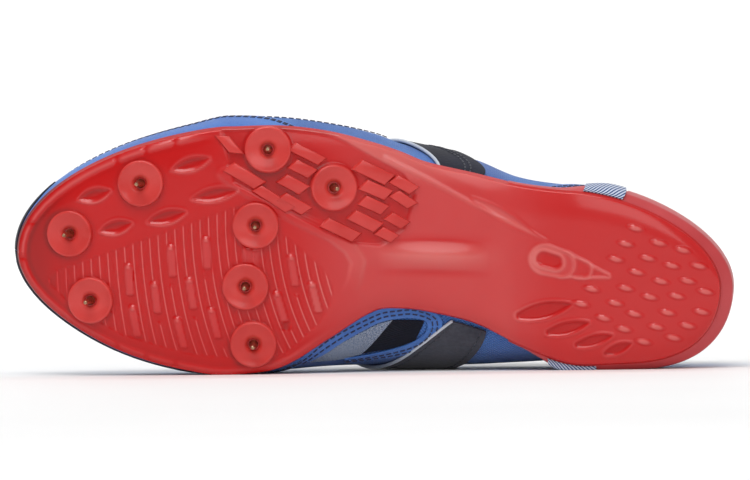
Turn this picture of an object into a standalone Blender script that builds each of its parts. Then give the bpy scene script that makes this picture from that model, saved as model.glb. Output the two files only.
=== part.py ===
"""A track spike shoe for the left foot, lying on its inner side.

The shoe is modelled in its own frame first: x forward from the back of the heel, y to the outer side,
z up from the ground under the ball of the foot. All pieces hang on one empty, which lays the shoe on
its inner side on the floor, with the toe towards -X and the underside facing -Y.
"""
import math
from collections import namedtuple

import bmesh
import bpy
from mathutils import Matrix, Vector

MM = 0.001

# The driving sizes of the shoe
LENGTH = 276 * MM
BALL_WIDTH = 95.5 * MM
INSTEP_HEIGHT = 80 * MM
TOE_SPRING = 16 * MM
ARCH_RISE = 7.5 * MM
HEEL_ROLL = 3.5 * MM
AXIS_SWING = 13.5 * MM

# Walls and clearances
CLEAR = 0.35 * MM
UPPER_WALL = 2.0 * MM
PLATE_WALL = 3.6 * MM
WEDGE_HEIGHT = 8.5 * MM
WEDGE_TIP = 1.3 * MM
INSOLE_WALL = 3.0 * MM
TONGUE_WALL = 3.0 * MM
TONGUE_HALF = 29 * MM
TONGUE_OVERLAP = 8 * MM
OVERLAY_WALL = 1.1 * MM
OVERLAY_LIFT = 0.4 * MM

# The lasting margin under the foot, and the curve from it up into the side
FEATHER_INSET = 9 * MM
MARGIN_WIDTH = 7 * MM
EDGE_ROUND = 2.2 * MM
UNDERCUT = 0.8 * MM
ARCH_LIFT = 1.5 * MM
PLATE_RIM = 5.0 * MM
RIM_WALL = 1.6 * MM
WEDGE_RIM = 10 * MM
WEDGE_FLARE = 3.3 * MM

# How far each rail of the upper stops short of the shoe's two ends
FEATHER_HEEL = 10 * MM
FEATHER_TOE = 9 * MM
WIDEST_HEEL = 3.2 * MM
WIDEST_TOE = 0.8 * MM
RIDGE_HEEL = 28 * MM
RIDGE_TOE = 12 * MM
PLATE_HEEL = 5.7 * MM
PLATE_TOE = 0.6 * MM

# Spikes, their seats and the tread
SEAT_RADIUS = 8.9 * MM
SEAT_HEIGHT = 1.6 * MM
SOCKET_RADIUS = 2.7 * MM
SOCKET_DEPTH = 2.4 * MM
PIN_LENGTH = 7.0 * MM
PIN_TIP_RADIUS = 0.7 * MM
COLLAR_HEIGHT = 1.2 * MM
LUG_HEIGHT = 1.7 * MM
BAR_HEIGHT = 1.1 * MM
WELL_DEPTH = 1.0 * MM
ROOT_DEPTH = 1.3 * MM

# Lace and eyelets
LACE_RADIUS = 1.6 * MM
LACE_SLACK = 0.8 * MM
CROSSING_LIFT = 1.2 * MM
EYELET_RADIUS = 2.3 * MM
EYELET_EDGE = 7.5 * MM
EYESTAY_WIDTH = 15 * MM
EYELET_STATIONS = (0.425, 0.475, 0.525, 0.575, 0.62, 0.66)

# How far the rubber and cloth flatten where the shoe touches the floor
CONTACT_FLAT = 0.35 * MM
FLOOR_TOOL = 20 * MM

# Stations along the shoe, as shares of its length: close together round the heel and the toe
STATIONS = (0, 0.006, 0.022, 0.05, 0.09, 0.135, 0.18, 0.225, 0.26, 0.29, 0.315, 0.335, 0.36, 0.39,
            0.407, 0.425, 0.46, 0.495, 0.53, 0.565, 0.60, 0.635, 0.67, 0.70, 0.73, 0.765, 0.80,
            0.84, 0.88, 0.915, 0.945, 0.97, 0.988, 0.997, 1)
WEDGE_END = 0.315
THROAT_END = 0.70
EYESTAY_START = 0.39
EYESTAY_END = 0.73
TONGUE_START = 0.36
TONGUE_END = 0.73
ARCH_START = 0.30
ARCH_END = 0.62
TOE_START = 0.707
HEEL_START = 0.225
BALL_AT = 0.65
END_SHARE = 0.25
TOE_POINT = 1.5
HEEL_POINT_OUTER = 1.5
HEEL_POINT_INNER = 3.8
OUTER = 1
INNER = -1
# Where the wedge's flare runs out on each side, going forward
WEDGE_FADE = {OUTER: (0.165, 0.25), INNER: (0.235, 0.30)}

# The wedge's rim sinks from here on, down to this share of its height at the heel
WEDGE_SINK_START = 0.12
WEDGE_LOW_SHARE = 0.45

# One row per section. Half widths from the axis are shares of the ball width: of the plate's edge and
# of the upper where it is widest. Heights are shares of the instep height: of the widest line on each
# side and of the top line of the foot, whose offset from the axis is a share of the ball width.
Section = namedtuple("Section", "at edge_outer edge_inner wide_outer wide_inner "
                                "high_outer high_inner ridge lean round")
SECTIONS = (
    Section(0.00, 0.377, 0.314, 0.352, 0.322, 0.42, 0.42, 1.25, 0.00, 2.0),
    Section(0.10, 0.375, 0.320, 0.357, 0.325, 0.42, 0.42, 1.25, 0.00, 2.0),
    Section(0.16, 0.371, 0.324, 0.357, 0.330, 0.44, 0.44, 1.26, 0.00, 2.0),
    Section(0.23, 0.364, 0.332, 0.356, 0.347, 0.47, 0.50, 1.27, 0.00, 2.0),
    Section(0.30, 0.375, 0.273, 0.376, 0.375, 0.52, 0.57, 1.24, 0.00, 2.0),
    Section(0.36, 0.408, 0.196, 0.436, 0.397, 0.56, 0.62, 1.165, 0.01, 2.0),
    Section(0.43, 0.446, 0.157, 0.471, 0.410, 0.55, 0.62, 1.05, 0.01, 1.95),
    Section(0.464, 0.482, 0.150, 0.491, 0.412, 0.51, 0.60, 1.01, 0.01, 1.95),
    Section(0.50, 0.513, 0.163, 0.528, 0.413, 0.46, 0.56, 0.97, 0.00, 1.95),
    Section(0.563, 0.552, 0.281, 0.564, 0.419, 0.39, 0.46, 0.885, -0.01, 2.0),
    Section(0.63, 0.566, 0.406, 0.582, 0.435, 0.34, 0.36, 0.805, -0.02, 2.0),
    Section(0.70, 0.552, 0.448, 0.574, 0.448, 0.30, 0.30, 0.73, -0.03, 2.1),
    Section(0.76, 0.541, 0.458, 0.548, 0.462, 0.29, 0.29, 0.66, -0.03, 2.2),
    Section(0.86, 0.532, 0.472, 0.534, 0.476, 0.30, 0.30, 0.58, -0.02, 2.3),
    Section(0.95, 0.522, 0.466, 0.524, 0.470, 0.32, 0.32, 0.51, 0.00, 2.4),
    Section(1.00, 0.513, 0.461, 0.515, 0.465, 0.34, 0.34, 0.41, 0.00, 2.4),
)

# The collar's edge as shares of the instep height, and half the throat's width as shares of the
# ball width. The lower of the two rules where the upper stops.
Opening = namedtuple("Opening", "at topline throat")
OPENINGS = (
    Opening(0.00, 0.93, 0.60),
    Opening(0.05, 0.90, 0.60),
    Opening(0.10, 0.83, 0.60),
    Opening(0.16, 0.77, 0.60),
    Opening(0.23, 0.76, 0.60),
    Opening(0.29, 0.80, 0.50),
    Opening(0.34, 0.88, 0.34),
    Opening(0.39, 0.985, 0.235),
    Opening(0.46, 1.20, 0.185),
    Opening(0.56, 1.20, 0.150),
    Opening(0.64, 1.20, 0.120),
    Opening(0.68, 1.20, 0.085),
    Opening(0.70, 1.20, 0.0),
    Opening(1.00, 1.20, 0.0),
)

# Spike seats: along from the heel as a share of the length, across as a share of the ball width
Seat = namedtuple("Seat", "name along across")
SEATS = (
    Seat("toe_outer", 0.923, 0.078),
    Seat("toe_inner", 0.894, -0.188),
    Seat("front_outer", 0.824, 0.284),
    Seat("ball_outer", 0.648, 0.423),
    Seat("rear_outer", 0.557, 0.269),
    Seat("ball_centre", 0.665, 0.119),
    Seat("ball_middle", 0.679, -0.126),
    Seat("ball_inner", 0.668, -0.357),
)

# Tread blocks of the outer side: place of the middle, length, width, and the slope of the long side
Lug = namedtuple("Lug", "along across long wide turn")
LUGS = (
    Lug(0.680, 0.317, 13.5, 4.4, -31),
    Lug(0.701, 0.442, 8.5, 3.6, -50),
    Lug(0.594, 0.404, 12.5, 3.6, -27),
    Lug(0.600, 0.346, 8.5, 4.2, -27),
    Lug(0.613, 0.284, 9.5, 4.4, -29),
    Lug(0.612, 0.206, 11.0, 4.2, -30),
    Lug(0.640, 0.226, 15.0, 3.6, -33),
    Lug(0.502, 0.328, 13.5, 4.8, -26),
    Lug(0.499, 0.258, 10.5, 4.4, -24),
    Lug(0.502, 0.197, 9.5, 4.2, -25),
    Lug(0.514, 0.133, 11.5, 4.4, -27),
    Lug(0.548, 0.099, 13.5, 4.2, -26),
    Lug(0.460, 0.278, 9.0, 4.0, -30),
    Lug(0.461, 0.218, 8.5, 3.8, -34),
    Lug(0.470, 0.134, 7.5, 3.8, -30),
    Lug(0.484, 0.077, 7.0, 3.8, -28),
)

# Short raised bars in the ribbed field of the inner side
Bar = namedtuple("Bar", "along across turn")
BARS = (
    Bar(0.842, -0.100, -88),
    Bar(0.783, -0.024, -86),
    Bar(0.734, 0.008, -84),
    Bar(0.805, -0.176, -84),
    Bar(0.756, -0.158, -80),
    Bar(0.835, -0.266, -74),
    Bar(0.771, -0.316, -72),
    Bar(0.725, -0.276, -72),
    Bar(0.614, -0.066, -80),
    Bar(0.584, -0.172, -74),
    Bar(0.632, -0.208, -70),
)
BAR_LONG = 10.5 * MM
BAR_WIDE = 2.7 * MM

# Dark overlays at the midfoot: where each runs at the plate, at the widest line and at the eyestay
Saddle = namedtuple("Saddle", "side name back_low front_low back_wide front_wide back_top front_top")
SADDLES = (
    Saddle(OUTER, "saddle_outer", 0.355, 0.410, 0.362, 0.445, 0.450, 0.540),
    Saddle(INNER, "saddle_inner", 0.345, 0.392, 0.375, 0.487, 0.450, 0.560),
)
SADDLE_GAP = 0.8 * MM
SADDLE_MARGIN = 2.8 * MM
SADDLE_FOOT = math.radians(9)

# Notches in the sides of the heel wedge, which bare the cloth of the upper
Notch = namedtuple("Notch", "side start end")
NOTCHES = (
    Notch(OUTER, 0.150, 0.212),
    Notch(INNER, 0.190, 0.262),
)
NOTCH_FLOOR = 1.2 * MM
NOTCH_DEPTH = 20 * MM
NOTCH_OUT = 3 * MM

# Leaf-shaped wells between the front spikes
Well = namedtuple("Well", "along across long turn")
WELLS = (
    Well(0.889, 0.236, 14.5, 17),
    Well(0.755, 0.364, 16.5, 18),
    Well(0.755, 0.244, 19.5, 12),
    Well(0.859, 0.108, 14.5, 16),
    Well(0.788, 0.152, 17.0, 16),
)
WELL_WIDE = 5.4 * MM


def column(rows, field, at):
    """Smooth value of one column of a table at a share of the length."""
    last = len(rows) - 2
    index = max(0, min(last, sum(1 for row in rows if row.at <= at) - 1))

    def slope(place):
        before = rows[max(0, place - 1)]
        after = rows[min(len(rows) - 1, place + 1)]
        return (getattr(after, field) - getattr(before, field)) / (after.at - before.at)

    low = rows[index]
    high = rows[index + 1]
    span = high.at - low.at
    t = max(0.0, min(1.0, (at - low.at) / span))
    start = getattr(low, field)
    end = getattr(high, field)
    return ((2 * t ** 3 - 3 * t ** 2 + 1) * start + (t ** 3 - 2 * t ** 2 + t) * span * slope(index)
            + (3 * t ** 2 - 2 * t ** 3) * end + (t ** 3 - t ** 2) * span * slope(index + 1))


def straight(rows, field, at):
    """Value of one column of a table, along straight lines between its rows."""
    index = max(0, min(len(rows) - 2, sum(1 for row in rows if row.at <= at) - 1))
    low = rows[index]
    high = rows[index + 1]
    t = max(0.0, min(1.0, (at - low.at) / (high.at - low.at)))
    return getattr(low, field) * (1 - t) + getattr(high, field) * t


def hump(at, start, end):
    """A soft hump of height 1 between two shares of the length."""
    if not start < at < end:
        return 0.0
    return math.sin(math.pi * (at - start) / (end - start)) ** 2


def ramp(value, start, end):
    """Smooth step from 0 at start to 1 at end."""
    t = max(0.0, min(1.0, (value - start) / (end - start)))
    return t * t * (3 - 2 * t)


def side_word(side):
    """The ending of a table's column for a side."""
    return "outer" if side == OUTER else "inner"


def axis_y(x):
    """The axis of the last swings inward towards the heel."""
    return -AXIS_SWING * (1 - x / LENGTH)


def cap(x, side, heel, toe):
    """Rounding of an outline at its two ends, 1 in between."""
    start = HEEL_START * LENGTH
    if x < start:
        power = HEEL_POINT_OUTER if side == OUTER else HEEL_POINT_INNER
        return math.sqrt(max(0.0, 1 - min(1.0, (start - x) / (start - heel)) ** power))
    start = TOE_START * LENGTH
    if x > start:
        return math.sqrt(max(0.0, 1 - min(1.0, (x - start) / (toe - start)) ** TOE_POINT))
    return 1.0


def station_x(s, heel, toe):
    """Place of a station on a rail that starts at heel and ends at toe; all rails agree in between."""
    return s * LENGTH + heel * (1 - ramp(s, 0, END_SHARE)) + (toe - LENGTH) * ramp(s, 1 - END_SHARE, 1)


def rail(s, side, name, heel, toe, inset):
    """Plan point of an outline at station s: its half width less an inset, rounded at both ends."""
    x = station_x(s, heel, toe)
    half = column(SECTIONS, name + "_" + side_word(side), x / LENGTH) * BALL_WIDTH - inset
    return Vector((x, axis_y(x) + side * half * cap(x, side, heel, toe), 0))


def plate_edge(s, side, inset=0.0):
    return rail(s, side, "edge", PLATE_HEEL + inset, LENGTH - PLATE_TOE - inset, inset)


def wedge_edge(s, side):
    flare = WEDGE_FLARE * (1 - ramp(s, *WEDGE_FADE[side]))
    return rail(s, side, "edge", 0.0, LENGTH - PLATE_TOE, -flare)


def ground_line(x):
    """Height of the plate's underside along its middle: heel, arch, ball and toe spring."""
    at = x / LENGTH
    height = ARCH_RISE * hump(at, HEEL_START - 0.06, BALL_AT)
    if at > BALL_AT:
        height += TOE_SPRING * ((at - BALL_AT) / (1 - BALL_AT)) ** 1.8
    if at < HEEL_START:
        height += HEEL_ROLL * (1 - at / HEEL_START) ** 3
    return height


def edge_half(x, side):
    """Half width of the plate at x, rounded at the ends."""
    half = column(SECTIONS, "edge_" + side_word(side), x / LENGTH) * BALL_WIDTH
    return max(MM, half * cap(x, side, PLATE_HEEL, LENGTH - PLATE_TOE))


def across_share(x, y):
    """How far out a plan point lies between the axis and the plate's edge, and on which side."""
    side = OUTER if y >= axis_y(x) else INNER
    return abs(y - axis_y(x)) / edge_half(x, side), side


def arch_lift(x, share, side):
    """How much the inner edge of the arch stands higher than the middle, at a share of the way out."""
    if side == OUTER:
        return 0.0
    return ARCH_LIFT * hump(x / LENGTH, ARCH_START, ARCH_END) * min(1.0, share) ** 2


def plate_under(x, y):
    """Height of the plate's underside at a plan point."""
    share, side = across_share(x, y)
    share = min(1.0, share)
    soft = 1 - 0.5 * hump(x / LENGTH, ARCH_START, ARCH_END)
    return ground_line(x) + arch_lift(x, share, side) + EDGE_ROUND * soft * share ** 6


def wedge_wall(x):
    """Thickness of the heel wedge, from the heel to its thin front end."""
    at = x / LENGTH
    body = WEDGE_TIP + (WEDGE_HEIGHT - WEDGE_TIP) * (1 - ramp(at, 0.10, WEDGE_END))
    return (body + CLEAR) * (1 - ramp(at, WEDGE_END + 0.005, WEDGE_END + 0.04))


def foot_bed(x, y):
    """Height of the upper's outer face under the foot, where it rests on plate and wedge."""
    share, side = across_share(x, y)
    return ground_line(x) + PLATE_WALL + CLEAR + wedge_wall(x) + arch_lift(x, share, side)


def feather(s, side, extra=0.0):
    """Where the flat bottom of the upper turns up, or further in by an extra margin."""
    point = rail(s, side, "edge", FEATHER_HEEL + extra, LENGTH - FEATHER_TOE - extra,
                 FEATHER_INSET + extra * 0.5)
    point.z = foot_bed(point.x, point.y)
    return point


def widest(s, side):
    point = rail(s, side, "wide", WIDEST_HEEL, LENGTH - WIDEST_TOE, 0.0)
    point.z = column(SECTIONS, "high_" + side_word(side), point.x / LENGTH) * INSTEP_HEIGHT
    return point


def ridge(s):
    x = station_x(s, RIDGE_HEEL, LENGTH - RIDGE_TOE)
    at = x / LENGTH
    return Vector((x, axis_y(x) + column(SECTIONS, "lean", at) * BALL_WIDTH,
                   column(SECTIONS, "ridge", at) * INSTEP_HEIGHT))


def lower_point(s, side, turn):
    """Outer face of the upper between the feather (0) and the widest line (a quarter turn)."""
    low = feather(s, side)
    wide = widest(s, side)
    point = low + (wide - low) * math.sin(turn)
    point.z = low.z + (wide.z - low.z) * (1 - math.cos(turn))
    return point


def upper_point(s, side, turn):
    """Outer face of the upper between the widest line (0) and the top line (a quarter turn)."""
    wide = widest(s, side)
    top = ridge(s)
    power = 2 / column(SECTIONS, "round", s)
    out = max(0.0, math.cos(turn)) ** power
    rise = max(0.0, math.sin(turn)) ** power
    point = top + (wide - top) * out
    point.z = wide.z + (top.z - wide.z) * rise
    return point


def width_turn(s, side, half):
    """Turn at which the upper has come in to a half width from the top line."""
    power = 2 / column(SECTIONS, "round", s)
    out = half / max(MM, abs(widest(s, side).y - ridge(s).y))
    return math.acos(min(1.0, out) ** (1 / power)) if out < 1 else math.pi / 2


def height_turn(s, side, height):
    """Turn at which the upper has come up to a height."""
    power = 2 / column(SECTIONS, "round", s)
    wide = widest(s, side)
    rise = (height - wide.z) / (ridge(s).z - wide.z)
    return math.asin(min(1.0, max(0.0, rise)) ** (1 / power))


def rim_turn(s, side):
    """Turn at which the upper ends at its collar or throat, a quarter where it closes over."""
    if s >= THROAT_END:
        return math.pi / 2
    return min(height_turn(s, side, straight(OPENINGS, "topline", s) * INSTEP_HEIGHT),
               width_turn(s, side, straight(OPENINGS, "throat", s) * BALL_WIDTH))


def turn_back(s, side, turn, distance):
    """Turn that lies a distance below another one, measured over the surface."""
    step = math.radians(1.5)
    walked = 0.0
    here = upper_point(s, side, turn)
    while walked < distance and turn > step:
        turn -= step
        there = upper_point(s, side, turn)
        walked += (there - here).length
        here = there
    return turn


def outward(s, side, turn):
    """Unit normal of the upper part of the surface, pointing out."""
    small = 0.004
    low = max(0.0, s - small)
    high = min(1.0, s + small)
    along = upper_point(high, side, turn) - upper_point(low, side, turn)
    around = upper_point(s, side, turn + small) - upper_point(s, side, turn - small)
    normal = around.cross(along) * side
    return normal.normalized()


def stay_width(s):
    """Width of the band round the throat, which narrows to a tongue tip in front of it."""
    return EYESTAY_WIDTH * (1 - 0.62 * ramp(s, THROAT_END - 0.04, EYESTAY_END))


def sweep_turns(end, count):
    """Equal steps of a turn, from the first one after 0 to the end."""
    return [end * index / count for index in range(1, count + 1)]


LOWER_TURNS = [math.radians(angle) for angle in (22.5, 45, 67.5, 90)]


def upper_rows(s, side):
    """Points of one half section, from the margin under the foot to the collar, throat or ridge."""
    end = rim_turn(s, side)
    stay = turn_back(s, side, end, stay_width(s))
    points = [feather(s, side, MARGIN_WIDTH), feather(s, side)]
    points += [lower_point(s, side, turn) for turn in LOWER_TURNS]
    points += [upper_point(s, side, turn) for turn in sweep_turns(stay, 5)]
    points += [upper_point(s, side, stay + (end - stay) * share) for share in (0.5, 1)]
    return points


def material(name, colour, roughness, metallic=0.0):
    made = bpy.data.materials.new(name)
    made.use_nodes = True
    shader = made.node_tree.nodes["Principled BSDF"]
    shader.inputs["Base Color"].default_value = (*colour, 1)
    shader.inputs["Roughness"].default_value = roughness
    shader.inputs["Metallic"].default_value = metallic
    return made


def finish(mesh, name, surface, parent, angle=40):
    """Close a bmesh, turn its faces out and hang it on the shoe's empty as one object."""
    bmesh.ops.remove_doubles(mesh, verts=mesh.verts, dist=0.00002)
    bmesh.ops.dissolve_degenerate(mesh, edges=mesh.edges, dist=0.00002)
    bmesh.ops.recalc_face_normals(mesh, faces=mesh.faces)
    data = bpy.data.meshes.new(name)
    mesh.to_mesh(data)
    mesh.free()
    data.shade_smooth()
    data.set_sharp_from_angle(angle=math.radians(angle))
    made = bpy.data.objects.new(name, data)
    made.data.materials.append(surface)
    parts.objects.link(made)
    made.parent = parent
    return made


def loft(mesh, rings, closed):
    """Join rows of points with faces; each row may close on itself."""
    rows = [[mesh.verts.new(point) for point in ring] for ring in rings]
    for first, second in zip(rows, rows[1:]):
        count = len(first) if closed else len(first) - 1
        for index in range(count):
            after = (index + 1) % len(first)
            mesh.faces.new((first[index], first[after], second[after], second[index]))
    return rows


def stations(start, end):
    return [s for s in STATIONS if start - 1e-6 <= s <= end + 1e-6]


def sole_ring(top, bottom):
    """One closed section: its top row from the inner to the outer edge, and its bottom row back."""
    return top + bottom[::-1]


PLATE_SHARES = (-1, -0.88, -0.72, -0.5, -0.25, 0, 0.25, 0.5, 0.72, 0.88, 1)


def plate_bottom(s):
    row = []
    for share in PLATE_SHARES:
        side = OUTER if share >= 0 else INNER
        edge = plate_edge(s, side, UNDERCUT)
        point = Vector((edge.x, axis_y(edge.x) + (edge.y - axis_y(edge.x)) * abs(share), 0))
        point.z = plate_under(point.x, point.y)
        row.append(point)
    return row


def rim_of(s, side, edge, height, wall):
    """Turn of the lower curve where a rim ends: by its height, or a wall inside its outline."""
    low = feather(s, side)
    wide = widest(s, side)
    reach = (wide - low).to_2d().length
    room = max(0.0, (edge - low).to_2d().length - wall)
    by_outline = math.asin(min(0.98, room / max(MM, reach)))
    by_height = math.acos(max(0.0, 1 - height / (wide.z - low.z)))
    return min(by_outline, by_height)


def hug(s, side, turn, drop):
    """A point of the lower curve moved down off the upper by a clearance square to the surface."""
    low = feather(s, side)
    wide = widest(s, side)
    reach = max(MM, (wide - low).to_2d().length)
    slope = (wide.z - low.z) * math.sin(turn) / (reach * math.cos(turn))
    point = lower_point(s, side, turn)
    point.z -= drop * math.sqrt(1 + slope * slope)
    return point


def cup_half(s, side, edge, height):
    """Half of a top row: the middle, the feather, up the lower curve, and out to the rim's edge."""
    low = feather(s, side)
    middle = Vector((low.x, axis_y(low.x), 0))
    middle.z = foot_bed(middle.x, middle.y) - CLEAR
    half = middle.lerp(low, 0.5)
    half.z = foot_bed(half.x, half.y) - CLEAR
    end = rim_of(s, side, edge, height, RIM_WALL)
    points = [middle, half, hug(s, side, 0, CLEAR)]
    points += [hug(s, side, turn, CLEAR) for turn in sweep_turns(end, 3)]
    points.append(Vector((edge.x, edge.y, points[-1].z)))
    return points


def flat_half(s, side):
    """Half of the plate's top row under the heel wedge, flat across."""
    edge = plate_edge(s, side)
    points = []
    for share in (0, 0.4, 0.7, 0.82, 0.9, 0.96, 1):
        point = Vector((edge.x, axis_y(edge.x) + (edge.y - axis_y(edge.x)) * share, 0))
        point.z = ground_line(edge.x) + PLATE_WALL + arch_lift(edge.x, share, side)
        points.append(point)
    return points


def mirror_row(half):
    """Whole row from the inner edge to the outer edge, from a function of the side."""
    return half(INNER)[::-1] + half(OUTER)[1:]


def plate_rim(s):
    """Height of the plate's rim above the foot bed: higher round the toe, low at the arch."""
    return PLATE_RIM * (1 + 0.4 * ramp(s, 0.8, 0.95) - 0.5 * hump(s, ARCH_START, ARCH_END))


def make_plate(parent, surface):
    mesh = bmesh.new()
    rings = []
    for s in STATIONS:
        if s <= WEDGE_END:
            top = mirror_row(lambda side: flat_half(s, side))
        else:
            top = mirror_row(lambda side: cup_half(s, side, plate_edge(s, side), plate_rim(s)))
        rings.append(sole_ring(top, plate_bottom(s)))
    loft(mesh, rings, True)
    return finish(mesh, "outsole_plate", surface, parent)


def wedge_half(s, side):
    outline = wedge_edge(s, side)
    sunk = ramp(s, WEDGE_SINK_START, WEDGE_FADE[side][1])
    height = WEDGE_RIM * (1 - (1 - WEDGE_LOW_SHARE) * sunk)
    return cup_half(s, side, outline, height)


def wedge_floor(s, side):
    """Half of the wedge's underside: over the plate to its edge, then out and up to the flare."""
    edge = plate_edge(s, side)
    outline = wedge_edge(s, side)
    points = []
    for share in (0, 0.28, 0.55, 0.72, 0.86, 1):
        point = Vector((edge.x, axis_y(edge.x) + (edge.y - axis_y(edge.x)) * share, 0))
        point.z = ground_line(edge.x) + PLATE_WALL + CLEAR + arch_lift(edge.x, share, side)
        points.append(point)
    flare = edge.lerp(outline, 0.75)
    flare.z = points[-1].z + wedge_wall(edge.x) * 0.45
    points.append(flare)
    return points


def make_wedge(parent, surface):
    mesh = bmesh.new()
    rings = []
    for s in stations(0, WEDGE_END):
        top = mirror_row(lambda side: wedge_half(s, side))
        rings.append(sole_ring(top, mirror_row(lambda side: wedge_floor(s, side))))
    rows = loft(mesh, rings, True)
    front = rows[-1]
    count = len(front)
    for index in range(count // 2 - 1):
        mesh.faces.new((front[index], front[index + 1], front[count - 2 - index], front[count - 1 - index]))
    return finish(mesh, "heel_wedge", surface, parent)


def cut_notches(target, parent):
    """A notch through each side of the wedge, open at its top."""
    mesh = bmesh.new()
    for notch in NOTCHES:
        middle = (notch.start + notch.end) / 2 * LENGTH
        long = (notch.end - notch.start) * LENGTH
        floor = ground_line(middle) + PLATE_WALL + CLEAR + wedge_wall(middle) + NOTCH_FLOOR
        edge = axis_y(middle) + notch.side * edge_half(middle, notch.side)
        place = Matrix.Translation((middle, edge + notch.side * NOTCH_OUT, floor + WEDGE_RIM))
        size = Matrix.Diagonal((long, NOTCH_DEPTH, 2 * WEDGE_RIM, 1))
        bmesh.ops.create_cube(mesh, size=1, matrix=place @ size)
    apply_tool(target, cutter(mesh, "cut_notches", parent), "DIFFERENCE")


def make_upper(parent, surface):
    """The outer face of the upper, with its wall to the inside."""
    mesh = bmesh.new()
    for side in (OUTER, INNER):
        loft(mesh, [upper_rows(s, side) for s in STATIONS], False)
    made = finish(mesh, "upper", surface, parent, 60)
    wall = made.modifiers.new("wall", "SOLIDIFY")
    wall.thickness = UPPER_WALL
    wall.offset = -1
    wall.use_even_offset = True
    wall.use_quality_normals = True
    return made


def insole_half(s, side, lift):
    """Half of an insole row over the lasting margin."""
    low = feather(s, side)
    middle = Vector((low.x, axis_y(low.x), 0))
    points = []
    for share in (0, 0.35, 0.7, 1):
        point = middle.lerp(low, share)
        point.z = foot_bed(point.x, point.y) + lift
        points.append(point)
    return points


def make_insole(parent, surface):
    mesh = bmesh.new()
    rings = []
    low = UPPER_WALL + 2 * CLEAR
    high = low + INSOLE_WALL
    for s in STATIONS:
        bottom = mirror_row(lambda side: insole_half(s, side, low))
        top = mirror_row(lambda side: insole_half(s, side, high))
        rings.append(sole_ring(top, bottom))
    loft(mesh, rings, True)
    return finish(mesh, "insole", surface, parent)


def patch_point(s, side, turn, lift):
    """A point off the upper's outer face by a lift along its normal."""
    return upper_point(s, side, turn) + outward(s, side, turn) * lift


def make_tongue(parent, surface):
    """The tongue follows the upper's top line from inside, past both edges of the throat."""
    mesh = bmesh.new()
    lift = -(UPPER_WALL + 3 * CLEAR)
    rings = []
    for s in stations(TONGUE_START, TONGUE_END):
        ring = []
        for side in (INNER, OUTER):
            end = min(rim_turn(s, side), math.radians(82))
            start = max(turn_back(s, side, end, TONGUE_OVERLAP), width_turn(s, side, TONGUE_HALF))
            turns = [start + (math.pi / 2 - start) * share for share in (0, 0.3, 0.6, 0.85)]
            row = [patch_point(s, side, turn, lift) for turn in turns]
            ring += row if side == INNER else [top_point(s, lift)] + row[::-1]
        rings.append(ring)
    loft(mesh, rings, False)
    made = finish(mesh, "tongue", surface, parent, 60)
    turn_out(made, Vector((0, 0, 1)))
    wall = made.modifiers.new("wall", "SOLIDIFY")
    wall.thickness = TONGUE_WALL
    wall.offset = -1
    wall.use_even_offset = True
    return made


def top_point(s, lift):
    """A point over or under the top line of the foot."""
    top = ridge(s)
    top.z += lift
    return top


def turn_out(made, way):
    """Flip an open sheet whose faces look against a direction on the whole."""
    mesh = bmesh.new()
    mesh.from_mesh(made.data)
    total = sum(((face.normal * face.calc_area()) for face in mesh.faces), Vector())
    if total.dot(way) < 0:
        bmesh.ops.reverse_faces(mesh, faces=mesh.faces)
    mesh.to_mesh(made.data)
    mesh.free()


def skin_point(s, side, level, lift):
    """A point off the outer face: level 0 at the feather, 1 at the widest line, 2 at the top line."""
    def on(at, height):
        if height <= 1:
            return lower_point(at, side, height * math.pi / 2)
        return upper_point(at, side, (height - 1) * math.pi / 2)

    small = 0.004
    along = on(s + small, level) - on(s - small, level)
    around = on(s, level + small) - on(s, level - small)
    normal = (around.cross(along) * side).normalized()
    return on(s, level) + normal * lift


def bent(start, middle, end, t):
    """A curve through three values, at t = 0, a half and 1."""
    guide = 2 * middle - (start + end) / 2
    return (1 - t) ** 2 * start + 2 * t * (1 - t) * guide + t * t * end


def saddle_point(saddle, share, climb):
    """A point of a saddle overlay: share from its back to its front edge, climb from low to top."""
    side = saddle.side
    back = bent(saddle.back_low, saddle.back_wide, saddle.back_top, climb)
    front = bent(saddle.front_low, saddle.front_wide, saddle.front_top, climb)
    s = back + (front - back) * share
    rim = rim_of(s, side, plate_edge(s, side), plate_rim(s), RIM_WALL)
    low = (rim + SADDLE_FOOT) / (math.pi / 2)
    high = 1 + turn_back(s, side, rim_turn(s, side), stay_width(s) + SADDLE_MARGIN) / (math.pi / 2)
    return skin_point(s, side, low + (high - low) * climb, SADDLE_GAP)


def make_saddle(saddle, parent, surface):
    """A dark overlay from the plate up to the band round the throat, laid over the upper."""
    mesh = bmesh.new()
    columns = 6
    levels = 12
    rings = []
    for step in range(columns):
        share = step / (columns - 1)
        rings.append([saddle_point(saddle, share, index / (levels - 1)) for index in range(levels)])
    loft(mesh, rings, False)
    made = finish(mesh, saddle.name, surface, parent, 60)
    turn_out(made, Vector((0, saddle.side, 0)))
    wall = made.modifiers.new("wall", "SOLIDIFY")
    wall.thickness = OVERLAY_WALL
    wall.offset = 1
    return made


def make_eyestay(parent, surface):
    """The raised band round the throat, cut from the upper's own surface."""
    mesh = bmesh.new()
    for side in (OUTER, INNER):
        rows = []
        for s in stations(EYESTAY_START, EYESTAY_END):
            end = rim_turn(s, side)
            start = turn_back(s, side, end, stay_width(s))
            row = [patch_point(s, side, start + (end - start) * share, OVERLAY_LIFT) for share in (0, 0.5)]
            closed = s >= THROAT_END
            last = top_point(s, OVERLAY_LIFT) if closed else patch_point(s, side, end, OVERLAY_LIFT)
            rows.append(row + [last])
        loft(mesh, rows, False)
    made = finish(mesh, "eyestay", surface, parent, 60)
    turn_out(made, Vector((0, 0, 1)))
    wall = made.modifiers.new("wall", "SOLIDIFY")
    wall.thickness = OVERLAY_WALL
    wall.offset = 1
    return made


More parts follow.
